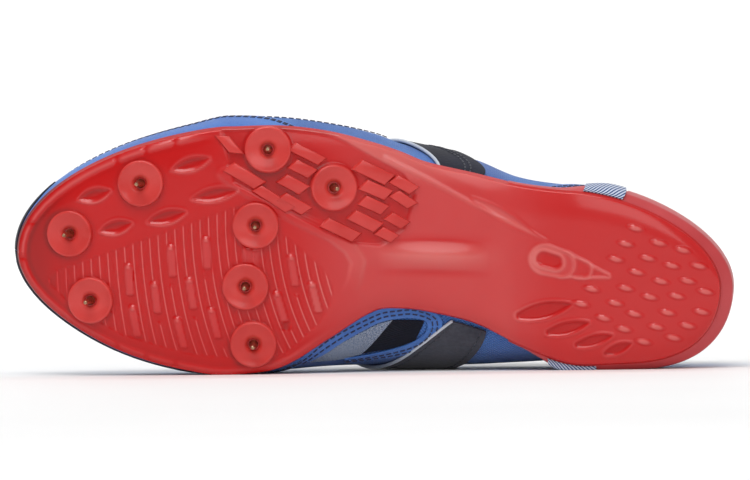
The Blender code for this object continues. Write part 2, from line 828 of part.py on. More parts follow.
def sole_place(along, across):
    """Point on the plate's underside and the direction straight down out of it."""
    x = along * LENGTH
    y = across * BALL_WIDTH
    small = 2 * MM
    slope_x = (plate_under(x + small, y) - plate_under(x - small, y)) / (2 * small)
    slope_y = (plate_under(x, y + small) - plate_under(x, y - small)) / (2 * small)
    down = Vector((slope_x, slope_y, -1)).normalized()
    return Vector((x, y, plate_under(x, y))), down


def stand(along, across, turn=0.0):
    """Matrix with z out of the underside and x along the shoe, turned in the surface."""
    place, down = sole_place(along, across)
    forward = (Vector((-1, 0, 0)) - down * Vector((-1, 0, 0)).dot(down)).normalized()
    sideways = down.cross(forward)
    basis = Matrix((forward, sideways, down)).transposed().to_4x4()
    return Matrix.Translation(place) @ basis @ Matrix.Rotation(math.radians(turn), 4, "Z")


def add_prism(mesh, matrix, long, wide, low, high):
    size = Matrix.Diagonal((long, wide, high - low, 1))
    shift = Matrix.Translation((0, 0, (low + high) / 2))
    bmesh.ops.create_cube(mesh, size=1, matrix=matrix @ shift @ size)


def add_disc(mesh, matrix, radius, low, high, sides):
    shift = Matrix.Translation((0, 0, (low + high) / 2))
    bmesh.ops.create_cone(mesh, cap_ends=True, segments=sides, radius1=radius, radius2=radius,
                          depth=high - low, matrix=matrix @ shift)


def cutter(mesh, name, parent):
    """A hidden working body for a Boolean."""
    bmesh.ops.recalc_face_normals(mesh, faces=mesh.faces)
    data = bpy.data.meshes.new(name)
    mesh.to_mesh(data)
    mesh.free()
    made = bpy.data.objects.new(name, data)
    made.hide_render = True
    made.display_type = "WIRE"
    tools.objects.link(made)
    made.parent = parent
    return made


def apply_tool(target, tool, operation):
    change = target.modifiers.new(tool.name, "BOOLEAN")
    change.object = tool
    change.operation = operation
    change.solver = "EXACT"
    change.use_self = True


def cut_tread(plate, parent):
    """Seats, lugs and bars are joined to the plate; wells and sockets are cut into it."""
    seats = bmesh.new()
    sockets = bmesh.new()
    for seat in SEATS:
        place = stand(seat.along, seat.across)
        add_disc(seats, place, SEAT_RADIUS, -ROOT_DEPTH, SEAT_HEIGHT, 24)
        add_disc(sockets, place, SOCKET_RADIUS, SEAT_HEIGHT - SOCKET_DEPTH, SEAT_HEIGHT + MM, 12)
    lugs = bmesh.new()
    for lug in LUGS:
        add_prism(lugs, stand(lug.along, lug.across, lug.turn), lug.long * MM, lug.wide * MM,
                  -ROOT_DEPTH, LUG_HEIGHT)
    for bar in BARS:
        add_prism(lugs, stand(bar.along, bar.across, bar.turn), BAR_LONG, BAR_WIDE,
                  -ROOT_DEPTH, BAR_HEIGHT)
    wells = bmesh.new()
    for well in WELLS:
        size = Matrix.Diagonal((well.long * MM / 2, WELL_WIDE / 2, WELL_DEPTH, 1))
        bmesh.ops.create_uvsphere(wells, u_segments=12, v_segments=6, radius=1,
                                  matrix=stand(well.along, well.across, well.turn) @ size)
    apply_tool(plate, cutter(lugs, "cut_lugs", parent), "UNION")
    apply_tool(plate, cutter(seats, "cut_seats", parent), "UNION")
    apply_tool(plate, cutter(wells, "cut_wells", parent), "DIFFERENCE")
    apply_tool(plate, cutter(sockets, "cut_sockets", parent), "DIFFERENCE")


def make_pin(seat, parent, surface):
    """A steel spike: a round foot in its socket, a shoulder and a tapered needle."""
    mesh = bmesh.new()
    place = stand(seat.along, seat.across)
    foot = SEAT_HEIGHT - SOCKET_DEPTH + CLEAR
    radius = SOCKET_RADIUS - CLEAR
    shoulder = SEAT_HEIGHT + COLLAR_HEIGHT
    tip = SEAT_HEIGHT + PIN_LENGTH
    profile = ((0, foot), (radius, foot), (radius, SEAT_HEIGHT), (radius * 0.8, shoulder),
               (PIN_TIP_RADIUS * 1.6, shoulder + MM), (PIN_TIP_RADIUS, tip), (0, tip))
    line = [mesh.verts.new((across, 0, height)) for across, height in profile]
    edges = [mesh.edges.new(pair) for pair in zip(line, line[1:])]
    bmesh.ops.spin(mesh, geom=line + edges, cent=(0, 0, 0), axis=(0, 0, 1), angle=math.tau,
                   steps=8, use_merge=True)
    bmesh.ops.transform(mesh, matrix=place, verts=mesh.verts)
    return finish(mesh, "spike_" + seat.name, surface, parent)


def eyelet_turn(s, side):
    return turn_back(s, side, rim_turn(s, side), EYELET_EDGE)


def punch_eyelets(targets, parent):
    """One pair of holes per row through the upper and the band round the throat."""
    mesh = bmesh.new()
    for s in EYELET_STATIONS:
        for side in (OUTER, INNER):
            turn = eyelet_turn(s, side)
            normal = outward(s, side, turn)
            place = Matrix.Translation(upper_point(s, side, turn))
            aim = Vector((0, 0, 1)).rotation_difference(normal).to_matrix().to_4x4()
            add_disc(mesh, place @ aim, EYELET_RADIUS, -3 * UPPER_WALL, 3 * UPPER_WALL, 8)
    tool = cutter(mesh, "cut_eyelets", parent)
    for target in targets:
        apply_tool(target, tool, "DIFFERENCE")


def lace_points(first_side):
    """One end of the lace from the front row to the top row, crossing over at each step."""
    points = []
    side = first_side
    lift = OVERLAY_WALL + 2 * CLEAR + LACE_RADIUS + LACE_SLACK
    rows = EYELET_STATIONS[::-1]
    for low, high in zip(rows, rows[1:]):
        for share in (0, 0.25):
            s = low + (high - low) * share
            turn = eyelet_turn(s, side) + (math.pi / 2 - eyelet_turn(s, side)) * share * 2
            points.append(patch_point(s, side, turn, lift))
        points.append(top_point((low + high) / 2, CROSSING_LIFT))
        s = low + (high - low) * 0.75
        turn = eyelet_turn(s, -side) + (math.pi / 2 - eyelet_turn(s, -side)) * 0.5
        points.append(patch_point(s, -side, turn, lift))
        side = -side
    points.append(patch_point(rows[-1], side, eyelet_turn(rows[-1], side), lift))
    return points


def lace_tube(name, points):
    """A lace as a mesh tube made from a bevelled curve."""
    data = bpy.data.curves.new(name, "CURVE")
    data.dimensions = "3D"
    data.bevel_depth = LACE_RADIUS
    data.bevel_resolution = 1
    data.use_fill_caps = True
    spline = data.splines.new("POLY")
    spline.points.add(len(points) - 1)
    for place, point in zip(spline.points, points):
        place.co = (*point, 1)
    guide = bpy.data.objects.new(name + "_curve", data)
    tools.objects.link(guide)
    bpy.context.view_layer.update()
    solid = bpy.data.meshes.new_from_object(guide.evaluated_get(bpy.context.evaluated_depsgraph_get()))
    mesh = bmesh.new()
    mesh.from_mesh(solid)
    bmesh.ops.remove_doubles(mesh, verts=mesh.verts, dist=0.00002)
    bpy.data.objects.remove(guide)
    return mesh


def make_laces(parent, surface):
    """Two zigzags that cross over the tongue, joined where they meet."""
    made = finish(lace_tube("laces", lace_points(OUTER)), "laces", surface, parent)
    other = cutter(lace_tube("lace_other", lace_points(INNER)), "cut_lace", parent)
    apply_tool(made, other, "UNION")
    return made


def remove_all():
    for item in list(bpy.data.objects):
        bpy.data.objects.remove(item)


def folder(name):
    made = bpy.data.collections.new(name)
    bpy.context.scene.collection.children.link(made)
    return made


def shoe_points():
    """Every corner of the finished pieces, in the shoe's own frame."""
    graph = bpy.context.evaluated_depsgraph_get()
    points = []
    for item in parts.objects:
        shape = item.evaluated_get(graph)
        data = shape.to_mesh()
        points += [corner.co.copy() for corner in data.vertices]
        shape.to_mesh_clear()
    return points


def resting_plane(points):
    """The largest face of the convex hull that looks to the inner side: what the shoe lies on."""
    mesh = bmesh.new()
    for point in points:
        mesh.verts.new(point)
    bmesh.ops.convex_hull(mesh, input=mesh.verts)
    loose = [corner for corner in mesh.verts if not corner.link_faces]
    bmesh.ops.delete(mesh, geom=loose, context="VERTS")
    bmesh.ops.recalc_face_normals(mesh, faces=mesh.faces)
    best = max((face for face in mesh.faces if face.normal.y < -0.95), key=lambda face: face.calc_area())
    normal = best.normal.copy()
    place = best.verts[0].co.copy()
    mesh.free()
    return place, normal


def lay_down(empty):
    """Turn the shoe so that its resting plane is the floor, toe to -X, and centre its box."""
    points = shoe_points()
    place, normal = resting_plane(points)
    up = -normal
    ahead = (Vector((1, 0, 0)) - up * up.x).normalized()
    back = up.cross(ahead)
    turned = Matrix((-ahead, -back, up)).to_4x4()
    moved = [turned @ point for point in points]
    floor = (turned @ place).z + CONTACT_FLAT
    low = [min(point[axis] for point in moved) for axis in (0, 1)]
    high = [max(point[axis] for point in moved) for axis in (0, 1)]
    shift = Vector((-(low[0] + high[0]) / 2, -(low[1] + high[1]) / 2, -floor))
    empty.matrix_world = Matrix.Translation(shift) @ turned


def flatten_contacts(targets):
    """Cut the small flats on which the shoe lies."""
    mesh = bmesh.new()
    size = Matrix.Diagonal((2 * LENGTH, 2 * LENGTH, FLOOR_TOOL, 1))
    bmesh.ops.create_cube(mesh, size=1, matrix=Matrix.Translation((0, 0, -FLOOR_TOOL / 2)) @ size)
    slab = cutter(mesh, "cut_floor", None)
    for target in targets:
        apply_tool(target, slab, "DIFFERENCE")


remove_all()
parts = folder("track_spike_shoe")
tools = folder("cutters")
shoe = bpy.data.objects.new("shoe", None)
parts_parent = folder("frame")
parts_parent.objects.link(shoe)

red_gloss = material("red_plate", (0.62, 0.035, 0.03), 0.22)
red_matte = material("red_foam", (0.60, 0.07, 0.06), 0.6)
blue_cloth = material("blue_cloth", (0.02, 0.12, 0.42), 0.7)
navy_cloth = material("navy_cloth", (0.01, 0.02, 0.07), 0.6)
grey_foam = material("grey_foam", (0.12, 0.13, 0.15), 0.9)
white_cord = material("white_cord", (0.75, 0.77, 0.8), 0.8)
steel = material("steel", (0.6, 0.6, 0.62), 0.25, 1.0)

outsole = make_plate(shoe, red_gloss)
cut_tread(outsole, shoe)
wedge = make_wedge(shoe, red_matte)
cut_notches(wedge, shoe)
upper = make_upper(shoe, blue_cloth)
insole = make_insole(shoe, grey_foam)
tongue = make_tongue(shoe, navy_cloth)
eyestay = make_eyestay(shoe, navy_cloth)
punch_eyelets((upper, eyestay), shoe)
saddles = [make_saddle(row, shoe, navy_cloth) for row in SADDLES]
laces = make_laces(shoe, white_cord)
for spike_seat in SEATS:
    make_pin(spike_seat, shoe, steel)
lay_down(shoe)
flatten_contacts((outsole, wedge, upper, *saddles))
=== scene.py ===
# %% [markdown]
# # A left track spike shoe
#
# The shoe lies on its inner side and turns its underside to the camera: a clear red plate with round
# spike seats, ribs and lugs, and a blue cloth upper that shows as a rim around it. The measured model
# gives the solids. This script dresses them: every piece is laid over the same last shape, so that a
# seam, a stitch or a lug always sits on what carries it.

# %% Load the measured model
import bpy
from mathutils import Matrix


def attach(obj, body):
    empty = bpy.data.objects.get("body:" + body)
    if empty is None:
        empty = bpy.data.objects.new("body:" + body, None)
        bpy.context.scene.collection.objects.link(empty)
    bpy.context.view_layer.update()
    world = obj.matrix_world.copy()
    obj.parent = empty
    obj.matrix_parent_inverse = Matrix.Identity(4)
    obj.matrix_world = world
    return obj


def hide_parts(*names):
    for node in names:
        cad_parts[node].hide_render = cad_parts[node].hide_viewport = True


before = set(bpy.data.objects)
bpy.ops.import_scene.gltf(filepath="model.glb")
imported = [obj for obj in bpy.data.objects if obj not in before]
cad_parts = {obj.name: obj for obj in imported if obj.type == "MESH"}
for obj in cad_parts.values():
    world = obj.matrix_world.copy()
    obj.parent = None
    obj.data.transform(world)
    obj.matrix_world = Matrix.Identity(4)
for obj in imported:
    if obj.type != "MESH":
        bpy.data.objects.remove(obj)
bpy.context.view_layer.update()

# %% Modules and the driving sizes
import math
from collections import namedtuple
from functools import lru_cache

import bmesh
import bpy
import numpy as np
from mathutils import Euler, Matrix, Vector

MM = 0.001
LENGTH = 276 * MM
BALL_WIDTH = 95.5 * MM
INSTEP_HEIGHT = 80 * MM
TOE_SPRING = 16 * MM
ARCH_RISE = 7.5 * MM
HEEL_ROLL = 3.5 * MM
AXIS_SWING = 13.5 * MM
ARCH_LIFT = 1.5 * MM
EDGE_ROUND = 2.2 * MM
PLATE_WALL = 3.6 * MM
UPPER_WALL = 2.0 * MM
CLEAR = 0.35 * MM
HEEL_END, TOE_END = 5.7 * MM, LENGTH - 0.6 * MM
OUTER, INNER = 1, -1
SIDES = {OUTER: "outer", INNER: "inner"}
print("shoe length in mm:", round(LENGTH / MM))

# %% [markdown]
# ## The shoe's own frame
#
# It is easier to think of a shoe that stands: x runs forward from the heel, y to the outer side and z up.
# One matrix then lays the finished points on the floor, in the pose of the measured model. The alternative,
# a turned object, is avoided because patterns on object coordinates would turn with it.

# %% Lay the shoe down
LIE_TURN = (85.74, -0.745, 180.0)
LIE_PLACE = Vector((137.76, -39.94, 43.20)) * MM
LAY = Matrix.Translation(LIE_PLACE) @ Euler([math.radians(turn) for turn in LIE_TURN]).to_matrix().to_4x4()
LAY_TURN = LAY.to_3x3()
STAND = LAY.inverted()
DOWN = LAY_TURN @ Vector((0, 0, -1))
print("the underside faces", [round(v, 3) for v in DOWN])

# %% [markdown]
# ## The last
#
# A shoemaker builds a shoe over a last. Here the last is a short table: one row per section, with the half
# widths of the sole's edge and of the widest line on each side as shares of the ball width, and the heights
# of the widest line and of the top line as shares of the instep height. Smooth curves run between the rows.
# The same numbers drive the solids, so the dressed shoe fits them.

# %% Sections of the last and its openings
Section = namedtuple("Section", "at edge_outer edge_inner wide_outer wide_inner "
                                "high_outer high_inner ridge lean round")
SECTIONS = (
    Section(0.00, 0.377, 0.314, 0.352, 0.322, 0.42, 0.42, 1.25, 0.00, 2.0),
    Section(0.10, 0.375, 0.320, 0.357, 0.325, 0.42, 0.42, 1.25, 0.00, 2.0),
    Section(0.16, 0.371, 0.324, 0.357, 0.330, 0.44, 0.44, 1.26, 0.00, 2.0),
    Section(0.23, 0.364, 0.332, 0.356, 0.347, 0.47, 0.50, 1.27, 0.00, 2.0),
    Section(0.30, 0.375, 0.273, 0.376, 0.375, 0.52, 0.57, 1.24, 0.00, 2.0),
    Section(0.36, 0.408, 0.196, 0.436, 0.397, 0.56, 0.62, 1.165, 0.01, 2.0),
    Section(0.43, 0.446, 0.157, 0.471, 0.410, 0.55, 0.62, 1.05, 0.01, 1.95),
    Section(0.464, 0.482, 0.150, 0.491, 0.412, 0.51, 0.60, 1.01, 0.01, 1.95),
    Section(0.50, 0.513, 0.163, 0.528, 0.413, 0.46, 0.56, 0.97, 0.00, 1.95),
    Section(0.563, 0.552, 0.281, 0.564, 0.419, 0.39, 0.46, 0.885, -0.01, 2.0),
    Section(0.63, 0.566, 0.406, 0.582, 0.435, 0.34, 0.36, 0.805, -0.02, 2.0),
    Section(0.70, 0.552, 0.448, 0.574, 0.448, 0.30, 0.30, 0.73, -0.03, 2.1),
    Section(0.76, 0.541, 0.458, 0.548, 0.462, 0.29, 0.29, 0.66, -0.03, 2.2),
    Section(0.86, 0.532, 0.472, 0.534, 0.476, 0.30, 0.30, 0.58, -0.02, 2.3),
    Section(0.95, 0.522, 0.466, 0.524, 0.470, 0.32, 0.32, 0.51, 0.00, 2.4),
    Section(1.00, 0.513, 0.461, 0.515, 0.465, 0.34, 0.34, 0.41, 0.00, 2.4),
)
Opening = namedtuple("Opening", "at topline throat")
OPENINGS = (
    Opening(0.00, 0.93, 0.60), Opening(0.05, 0.90, 0.60), Opening(0.10, 0.83, 0.60),
    Opening(0.16, 0.77, 0.60), Opening(0.23, 0.76, 0.60), Opening(0.29, 0.80, 0.50),
    Opening(0.34, 0.88, 0.34), Opening(0.39, 0.985, 0.235), Opening(0.46, 1.20, 0.185),
    Opening(0.56, 1.20, 0.150), Opening(0.64, 1.20, 0.120), Opening(0.68, 1.20, 0.085),
    Opening(0.70, 1.20, 0.0), Opening(1.00, 1.20, 0.0),
)
TABLES = {"last": SECTIONS, "opening": OPENINGS}
WEDGE_END, STAY_START, THROAT_END, EYESTAY_END = 0.315, 0.41, 0.70, 0.73
WEDGE_FADE = {OUTER: (0.165, 0.25), INNER: (0.235, 0.30)}
WEDGE_FLARE, WEDGE_RIM, WEDGE_SINK_START, WEDGE_LOW_SHARE = 3.3 * MM, 10 * MM, 0.12, 0.45
WEDGE_THIN, WEDGE_THICK = 1.3 * MM, 7.2 * MM
HEEL_START, TOE_START, BALL_AT = 0.225, 0.707, 0.65
ARCH_START, ARCH_END, END_SHARE = 0.30, 0.62, 0.25
print("sections:", len(SECTIONS), "openings:", len(OPENINGS))


# %% Curves through the tables
@lru_cache(maxsize=None)
def column(table, field, at):
    """Smooth value of one column of a table at a share of the length."""
    rows = TABLES[table]
    index = max(0, min(len(rows) - 2, sum(1 for row in rows if row.at <= at) - 1))

    def slope(place):
        before, after = rows[max(0, place - 1)], rows[min(len(rows) - 1, place + 1)]
        return (getattr(after, field) - getattr(before, field)) / (after.at - before.at)

    low, high = rows[index], rows[index + 1]
    span = high.at - low.at
    t = max(0.0, min(1.0, (at - low.at) / span))
    return ((2 * t ** 3 - 3 * t ** 2 + 1) * getattr(low, field)
            + (t ** 3 - 2 * t ** 2 + t) * span * slope(index)
            + (3 * t ** 2 - 2 * t ** 3) * getattr(high, field)
            + (t ** 3 - t ** 2) * span * slope(index + 1))


@lru_cache(maxsize=None)
def straight(table, field, at):
    """Value of one column of a table, along straight lines between its rows."""
    rows = TABLES[table]
    index = max(0, min(len(rows) - 2, sum(1 for row in rows if row.at <= at) - 1))
    low, high = rows[index], rows[index + 1]
    t = max(0.0, min(1.0, (at - low.at) / (high.at - low.at)))
    return getattr(low, field) * (1 - t) + getattr(high, field) * t


def ramp(value, start, end):
    """Smooth step from 0 at start to 1 at end, for a number or an array."""
    t = np.clip((value - start) / (end - start), 0, 1)
    return t * t * (3 - 2 * t)


def hump(at, start, end):
    """A soft hump of height 1 between two shares of the length."""
    return math.sin(math.pi * (at - start) / (end - start)) ** 2 if start < at < end else 0.0


def through(points, t):
    """A point on a smooth curve through a few given points, t from 0 to 1."""
    place = max(0.0, min(0.999999, t)) * (len(points) - 1)
    index = int(place)
    f = place - index
    last = len(points) - 1
    p0, p1, p2, p3 = (points[max(0, min(last, index + step))] for step in (-1, 0, 1, 2))
    return tuple(b + 0.5 * f * (c - a + f * (2 * a - 5 * b + 4 * c - d + f * (3 * (b - c) + d - a)))
                 for a, b, c, d in zip(p0, p1, p2, p3))


print("half width at the ball:", round(column("last", "edge_outer", BALL_AT) * BALL_WIDTH / MM, 1), "mm")


# %% Rails along the shoe
def axis_y(x):
    """The axis of the last swings inward towards the heel."""
    return -AXIS_SWING * (1 - x / LENGTH)


def cap(x, side, heel, toe):
    """Rounding of an outline at its two ends, 1 in between."""
    start = HEEL_START * LENGTH
    if x < start:
        power = 1.5 if side == OUTER else 3.8
        return math.sqrt(max(0.0, 1 - min(1.0, (start - x) / (start - heel)) ** power))
    start = TOE_START * LENGTH
    if x > start:
        return math.sqrt(max(0.0, 1 - min(1.0, (x - start) / (toe - start)) ** 1.5))
    return 1.0


def station_x(s, heel, toe):
    """Place of a station on a rail from heel to toe; all rails agree in between."""
    return float(s * LENGTH + heel * (1 - ramp(s, 0, END_SHARE)) + (toe - LENGTH) * ramp(s, 1 - END_SHARE, 1))


@lru_cache(maxsize=None)
def rail(s, side, name, heel, toe, inset):
    """Plan point (x, y) of an outline at station s, drawn in by an inset."""
    x = station_x(s, heel, toe)
    half = column("last", f"{name}_{SIDES[side]}", x / LENGTH) * BALL_WIDTH - inset
    return x, axis_y(x) + side * half * cap(x, side, heel, toe)


def plate_edge(s, side, inset=0.0):
    return rail(s, side, "edge", HEEL_END + inset, TOE_END - inset, inset)


def wedge_edge(s, side):
    flare = WEDGE_FLARE * (1 - ramp(s, *WEDGE_FADE[side]))
    return rail(s, side, "edge", 0.0, TOE_END, -flare)


@lru_cache(maxsize=None)
def ground_line(x):
    """Height of the plate's underside along its middle: heel, arch, ball and toe spring."""
    at = x / LENGTH
    height = ARCH_RISE * hump(at, HEEL_START - 0.06, BALL_AT)
    if at > BALL_AT:
        height += TOE_SPRING * ((at - BALL_AT) / (1 - BALL_AT)) ** 1.8
    if at < HEEL_START:
        height += HEEL_ROLL * (1 - at / HEEL_START) ** 3
    return height


@lru_cache(maxsize=None)
def edge_half(x, side):
    half = column("last", f"edge_{SIDES[side]}", x / LENGTH) * BALL_WIDTH
    return max(MM, half * cap(x, side, HEEL_END, TOE_END))


def across_share(x, y):
    side = OUTER if y >= axis_y(x) else INNER
    return abs(y - axis_y(x)) / edge_half(x, side), side


def arch_lift(x, share, side):
    """How much the inner edge of the arch stands higher than the middle."""
    if side == OUTER:
        return 0.0
    return ARCH_LIFT * hump(x / LENGTH, ARCH_START, ARCH_END) * min(1.0, share) ** 2


def plate_under(x, y):
    """Height of the plate's underside at a plan point."""
    share, side = across_share(x, y)
    share = min(1.0, share)
    soft = 1 - 0.5 * hump(x / LENGTH, ARCH_START, ARCH_END)
    return ground_line(x) + arch_lift(x, share, side) + EDGE_ROUND * soft * share ** 6


@lru_cache(maxsize=None)
def wedge_wall(x):
    """Thickness of the heel wedge, from the heel to its thin front end."""
    at = x / LENGTH
    body = WEDGE_THIN + WEDGE_THICK * (1 - ramp(at, 0.10, WEDGE_END))
    return float((body + CLEAR) * (1 - ramp(at, WEDGE_END + 0.005, WEDGE_END + 0.04)))


def foot_bed(x, y):
    """Height of the upper's outer face where it rests on plate and wedge."""
    share, side = across_share(x, y)
    return ground_line(x) + PLATE_WALL + CLEAR + wedge_wall(x) + arch_lift(x, share, side)


print("arch height:", round(ground_line(0.4 * LENGTH) / MM, 1), "mm, toe spring:",
      round(ground_line(LENGTH) / MM, 1), "mm")


# %% The skin of the upper
@lru_cache(maxsize=None)
def feather(s, side, extra=0.0):
    x, y = rail(s, side, "edge", 10 * MM + extra, LENGTH - 9 * MM - extra, 9 * MM + extra * 0.5)
    return Vector((x, y, foot_bed(x, y))).freeze()


@lru_cache(maxsize=None)
def widest(s, side):
    x, y = rail(s, side, "wide", 3.2 * MM, LENGTH - 0.8 * MM, 0.0)
    return Vector((x, y, column("last", f"high_{SIDES[side]}", x / LENGTH) * INSTEP_HEIGHT)).freeze()


@lru_cache(maxsize=None)
def ridge(s):
    x = station_x(s, 28 * MM, LENGTH - 12 * MM)
    at = x / LENGTH
    return Vector((x, axis_y(x) + column("last", "lean", at) * BALL_WIDTH,
                   column("last", "ridge", at) * INSTEP_HEIGHT)).freeze()


def on_skin(s, side, level):
    """A point of the outer face: level 0 at the feather, 1 at the widest line, 2 at the top line."""
    wide = widest(s, side)
    if level <= 1:
        low = feather(s, side)
        turn = level * math.pi / 2
        point = low + (wide - low) * math.sin(turn)
        point.z = low.z + (wide.z - low.z) * (1 - math.cos(turn))
        return point
    turn = (level - 1) * math.pi / 2
    power = 2 / column("last", "round", s)
    top = ridge(s)
    point = top + (wide - top) * max(0.0, math.cos(turn)) ** power
    point.z = wide.z + (top.z - wide.z) * max(0.0, math.sin(turn)) ** power
    return point


def outward(s, side, level):
    """Unit normal of the skin, pointing out."""
    small = 0.004
    low, high = max(0.0, s - small), min(1.0, s + small)
    down, up = max(0.0, level - small), min(2.0, level + small)
    along = on_skin(high, side, level) - on_skin(low, side, level)
    around = on_skin(s, side, up) - on_skin(s, side, down)
    normal = around.cross(along) * side
    return normal.normalized() if normal.length > 0 else Vector((0, 0, 1))


def skin(s, side, level, lift=0.0):
    return on_skin(s, side, level) + outward(s, side, level) * lift if lift else on_skin(s, side, level)


@lru_cache(maxsize=None)
def rim_level(s, side):
    """Level at which the upper ends at its collar or throat, 2 where it closes over."""
    if s >= THROAT_END:
        return 2.0
    power = 2 / column("last", "round", s)
    wide, top = widest(s, side), ridge(s)
    rise = (straight("opening", "topline", s) * INSTEP_HEIGHT - wide.z) / (top.z - wide.z)
    by_height = math.asin(min(1.0, max(0.0, rise)) ** (1 / power))
    out = straight("opening", "throat", s) * BALL_WIDTH / max(MM, abs(wide.y - top.y))
    by_width = math.acos(min(1.0, out) ** (1 / power)) if out < 1 else math.pi / 2
    return 1 + min(by_height, by_width) / (math.pi / 2)


@lru_cache(maxsize=None)
def level_back(s, side, level, distance):
    """The level that lies a distance below another one, measured over the surface."""
    walked, step = 0.0, 1 / 60
    here = on_skin(s, side, level)
    while walked < distance and level > step:
        level -= step
        there = on_skin(s, side, level)
        walked += (there - here).length
        here = there
    return level


def stay_width(s):
    """Width of the band round the throat, which narrows to a tip in front of it."""
    return 15 * MM * (1 - 0.62 * float(ramp(s, THROAT_END - 0.04, EYESTAY_END)))


def plate_rim(s):
    return float(5 * MM * (1 + 0.4 * ramp(s, 0.8, 0.95) - 0.5 * hump(s, ARCH_START, ARCH_END)))


@lru_cache(maxsize=None)
def rim_of(s, side, edge, height, wall):
    """Level where a rim of plate or wedge ends: by its height, or a wall inside its outline."""
    low, wide = feather(s, side), widest(s, side)
    reach = math.hypot(wide.x - low.x, wide.y - low.y)
    room = max(0.0, math.hypot(edge[0] - low.x, edge[1] - low.y) - wall)
    by_outline = math.asin(min(0.98, room / max(MM, reach)))
    by_height = math.acos(max(0.0, 1 - height / (wide.z - low.z)))
    return min(by_outline, by_height) / (math.pi / 2)


def plate_level(s, side):
    """Level of the skin at the plate's rim."""
    return rim_of(s, side, plate_edge(s, side), plate_rim(s), 1.6 * MM)


def hug(s, side, level, drop):
    """A point of the lower skin moved down off it by a clearance square to the surface."""
    low, wide = feather(s, side), widest(s, side)
    turn = level * math.pi / 2
    reach = max(MM, math.hypot(wide.x - low.x, wide.y - low.y))
    slope = (wide.z - low.z) * math.sin(turn) / (reach * math.cos(turn))
    point = on_skin(s, side, level)
    point.z -= drop * math.sqrt(1 + slope * slope)
    return point


print("collar level at the heel:", round(rim_level(0.1, OUTER), 2))

# %% [markdown]
# ## Materials
#
# A Blender material is a graph of nodes. Written out by hand it grows long, so one small class wraps a
# socket: sums and products on it add Math nodes, and any other node comes from one method. Patterns that
# vary over a surface feed only the colour, the roughness, the coat and the bump.

# %% A socket that can be used in sums
class Flow:
    """One output of a node tree. Arithmetic on it adds Math nodes."""

    def __init__(self, tree, socket=None):
        self.tree = tree
        self.socket = socket

    def node(self, kind, settings, inputs, output=0):
        """Adds a node: its settings first, then the values or links of its inputs."""
        made = self.tree.nodes.new(kind)
        for name, value in settings.items():
            if name == "stops":
                elements = made.color_ramp.elements
                elements[0].position, elements[0].color = value[0][0], (*value[0][1], 1)
                elements[1].position, elements[1].color = value[-1][0], (*value[-1][1], 1)
                for place, colour in value[1:-1]:
                    elements.new(place).color = (*colour, 1)
            else:
                setattr(made, name, value)
        for name, value in inputs.items():
            if isinstance(value, Flow):
                self.tree.links.new(value.socket, made.inputs[name])
            else:
                made.inputs[name].default_value = value
        return Flow(self.tree, made.outputs[output])

    def maths(self, operation, first, second=0.0):
        return self.node("ShaderNodeMath", {"operation": operation}, {0: first, 1: second})

    def __add__(self, other):
        return self.maths("ADD", self, other)

    def __mul__(self, other):
        return self.maths("MULTIPLY", self, other)

    def __sub__(self, other):
        return self.maths("SUBTRACT", self, other)

    def __rsub__(self, other):
        return self.maths("SUBTRACT", other, self)

    __radd__ = __add__
    __rmul__ = __mul__

    def power(self, exponent):
        return self.maths("POWER", self, exponent)

    def sine(self):
        return self.maths("SINE", self)

    def noise(self, place, scale, detail=2.0):
        return self.node("ShaderNodeTexNoise", {}, {"Vector": place, "Scale": scale, "Detail": detail})

    def band(self, value, low, high):
        """0 below low, 1 above high, smooth between."""
        return self.node("ShaderNodeMapRange", {"interpolation_type": "SMOOTHSTEP"},
                         {"Value": value, "From Min": low, "From Max": high})

    def blend(self, share, first, second):
        """Mixes two colours by a share."""
        return self.node("ShaderNodeMix", {"data_type": "RGBA"}, {0: share, 6: first, 7: second}, 2)

    def colours(self, value, stops):
        return self.node("ShaderNodeValToRGB", {"stops": stops}, {"Fac": value})

    def object_place(self):
        return self.node("ShaderNodeTexCoord", {}, {}, "Object")

    def weave_place(self):
        return self.node("ShaderNodeUVMap", {"uv_map": "weave"}, {})

    def across(self, place, axis):
        return self.node("ShaderNodeSeparateXYZ", {}, {"Vector": place}, axis)

    def attribute(self, name):
        return self.node("ShaderNodeAttribute", {"attribute_name": name}, {}, "Fac")


def srgb(*screen):
    """A colour given as it looks on a screen, 0 to 255, in the linear values that a shader takes."""
    return tuple(((v / 255 + 0.055) / 1.055) ** 2.4 if v > 10 else v / 255 / 12.92 for v in screen)


def surface(name, constants, build):
    """A material: constant sockets are set directly, build(flow) returns the varying ones."""
    made = bpy.data.materials.new(name)
    made.use_nodes = True
    shader = made.node_tree.nodes["Principled BSDF"]
    for socket, value in constants.items():
        shader.inputs[socket].default_value = value
    for socket, flow in build(Flow(made.node_tree)).items():
        made.node_tree.links.new(flow.socket, shader.inputs[socket])
    return made


def bumped(flow, height, distance, strength=1.0):
    return flow.node("ShaderNodeBump", {}, {"Height": height, "Distance": distance, "Strength": strength})


print("red on screen 191 is", round(srgb(191, 37, 34)[0], 3), "in the shader")

# %% [markdown]
# ### Clear red plate, matte red wedge
#
# The plate is a glossy, slightly see-through plastic. Its colour carries painted shade and painted
# highlights:
# deep places are painted dark, and raised edges, domes, the arch, the heel and the outer side pale, for the
# shade and light that fall there; a thick place also lets less light come back out. A value stored with the
# relief at every corner carries that into the ramp. The wedge is a paler red with a matte skin.

# %% Red materials
# The ramp runs from the painted shade of deep places to the painted highlight of raised edges.
RED_SHADE_TO_HIGHLIGHT = ((0.0, srgb(124, 12, 8)), (0.3, srgb(180, 6, 6)), (0.5, srgb(190, 10, 10)),
             (0.75, srgb(196, 54, 54)), (1.0, srgb(210, 102, 98)))


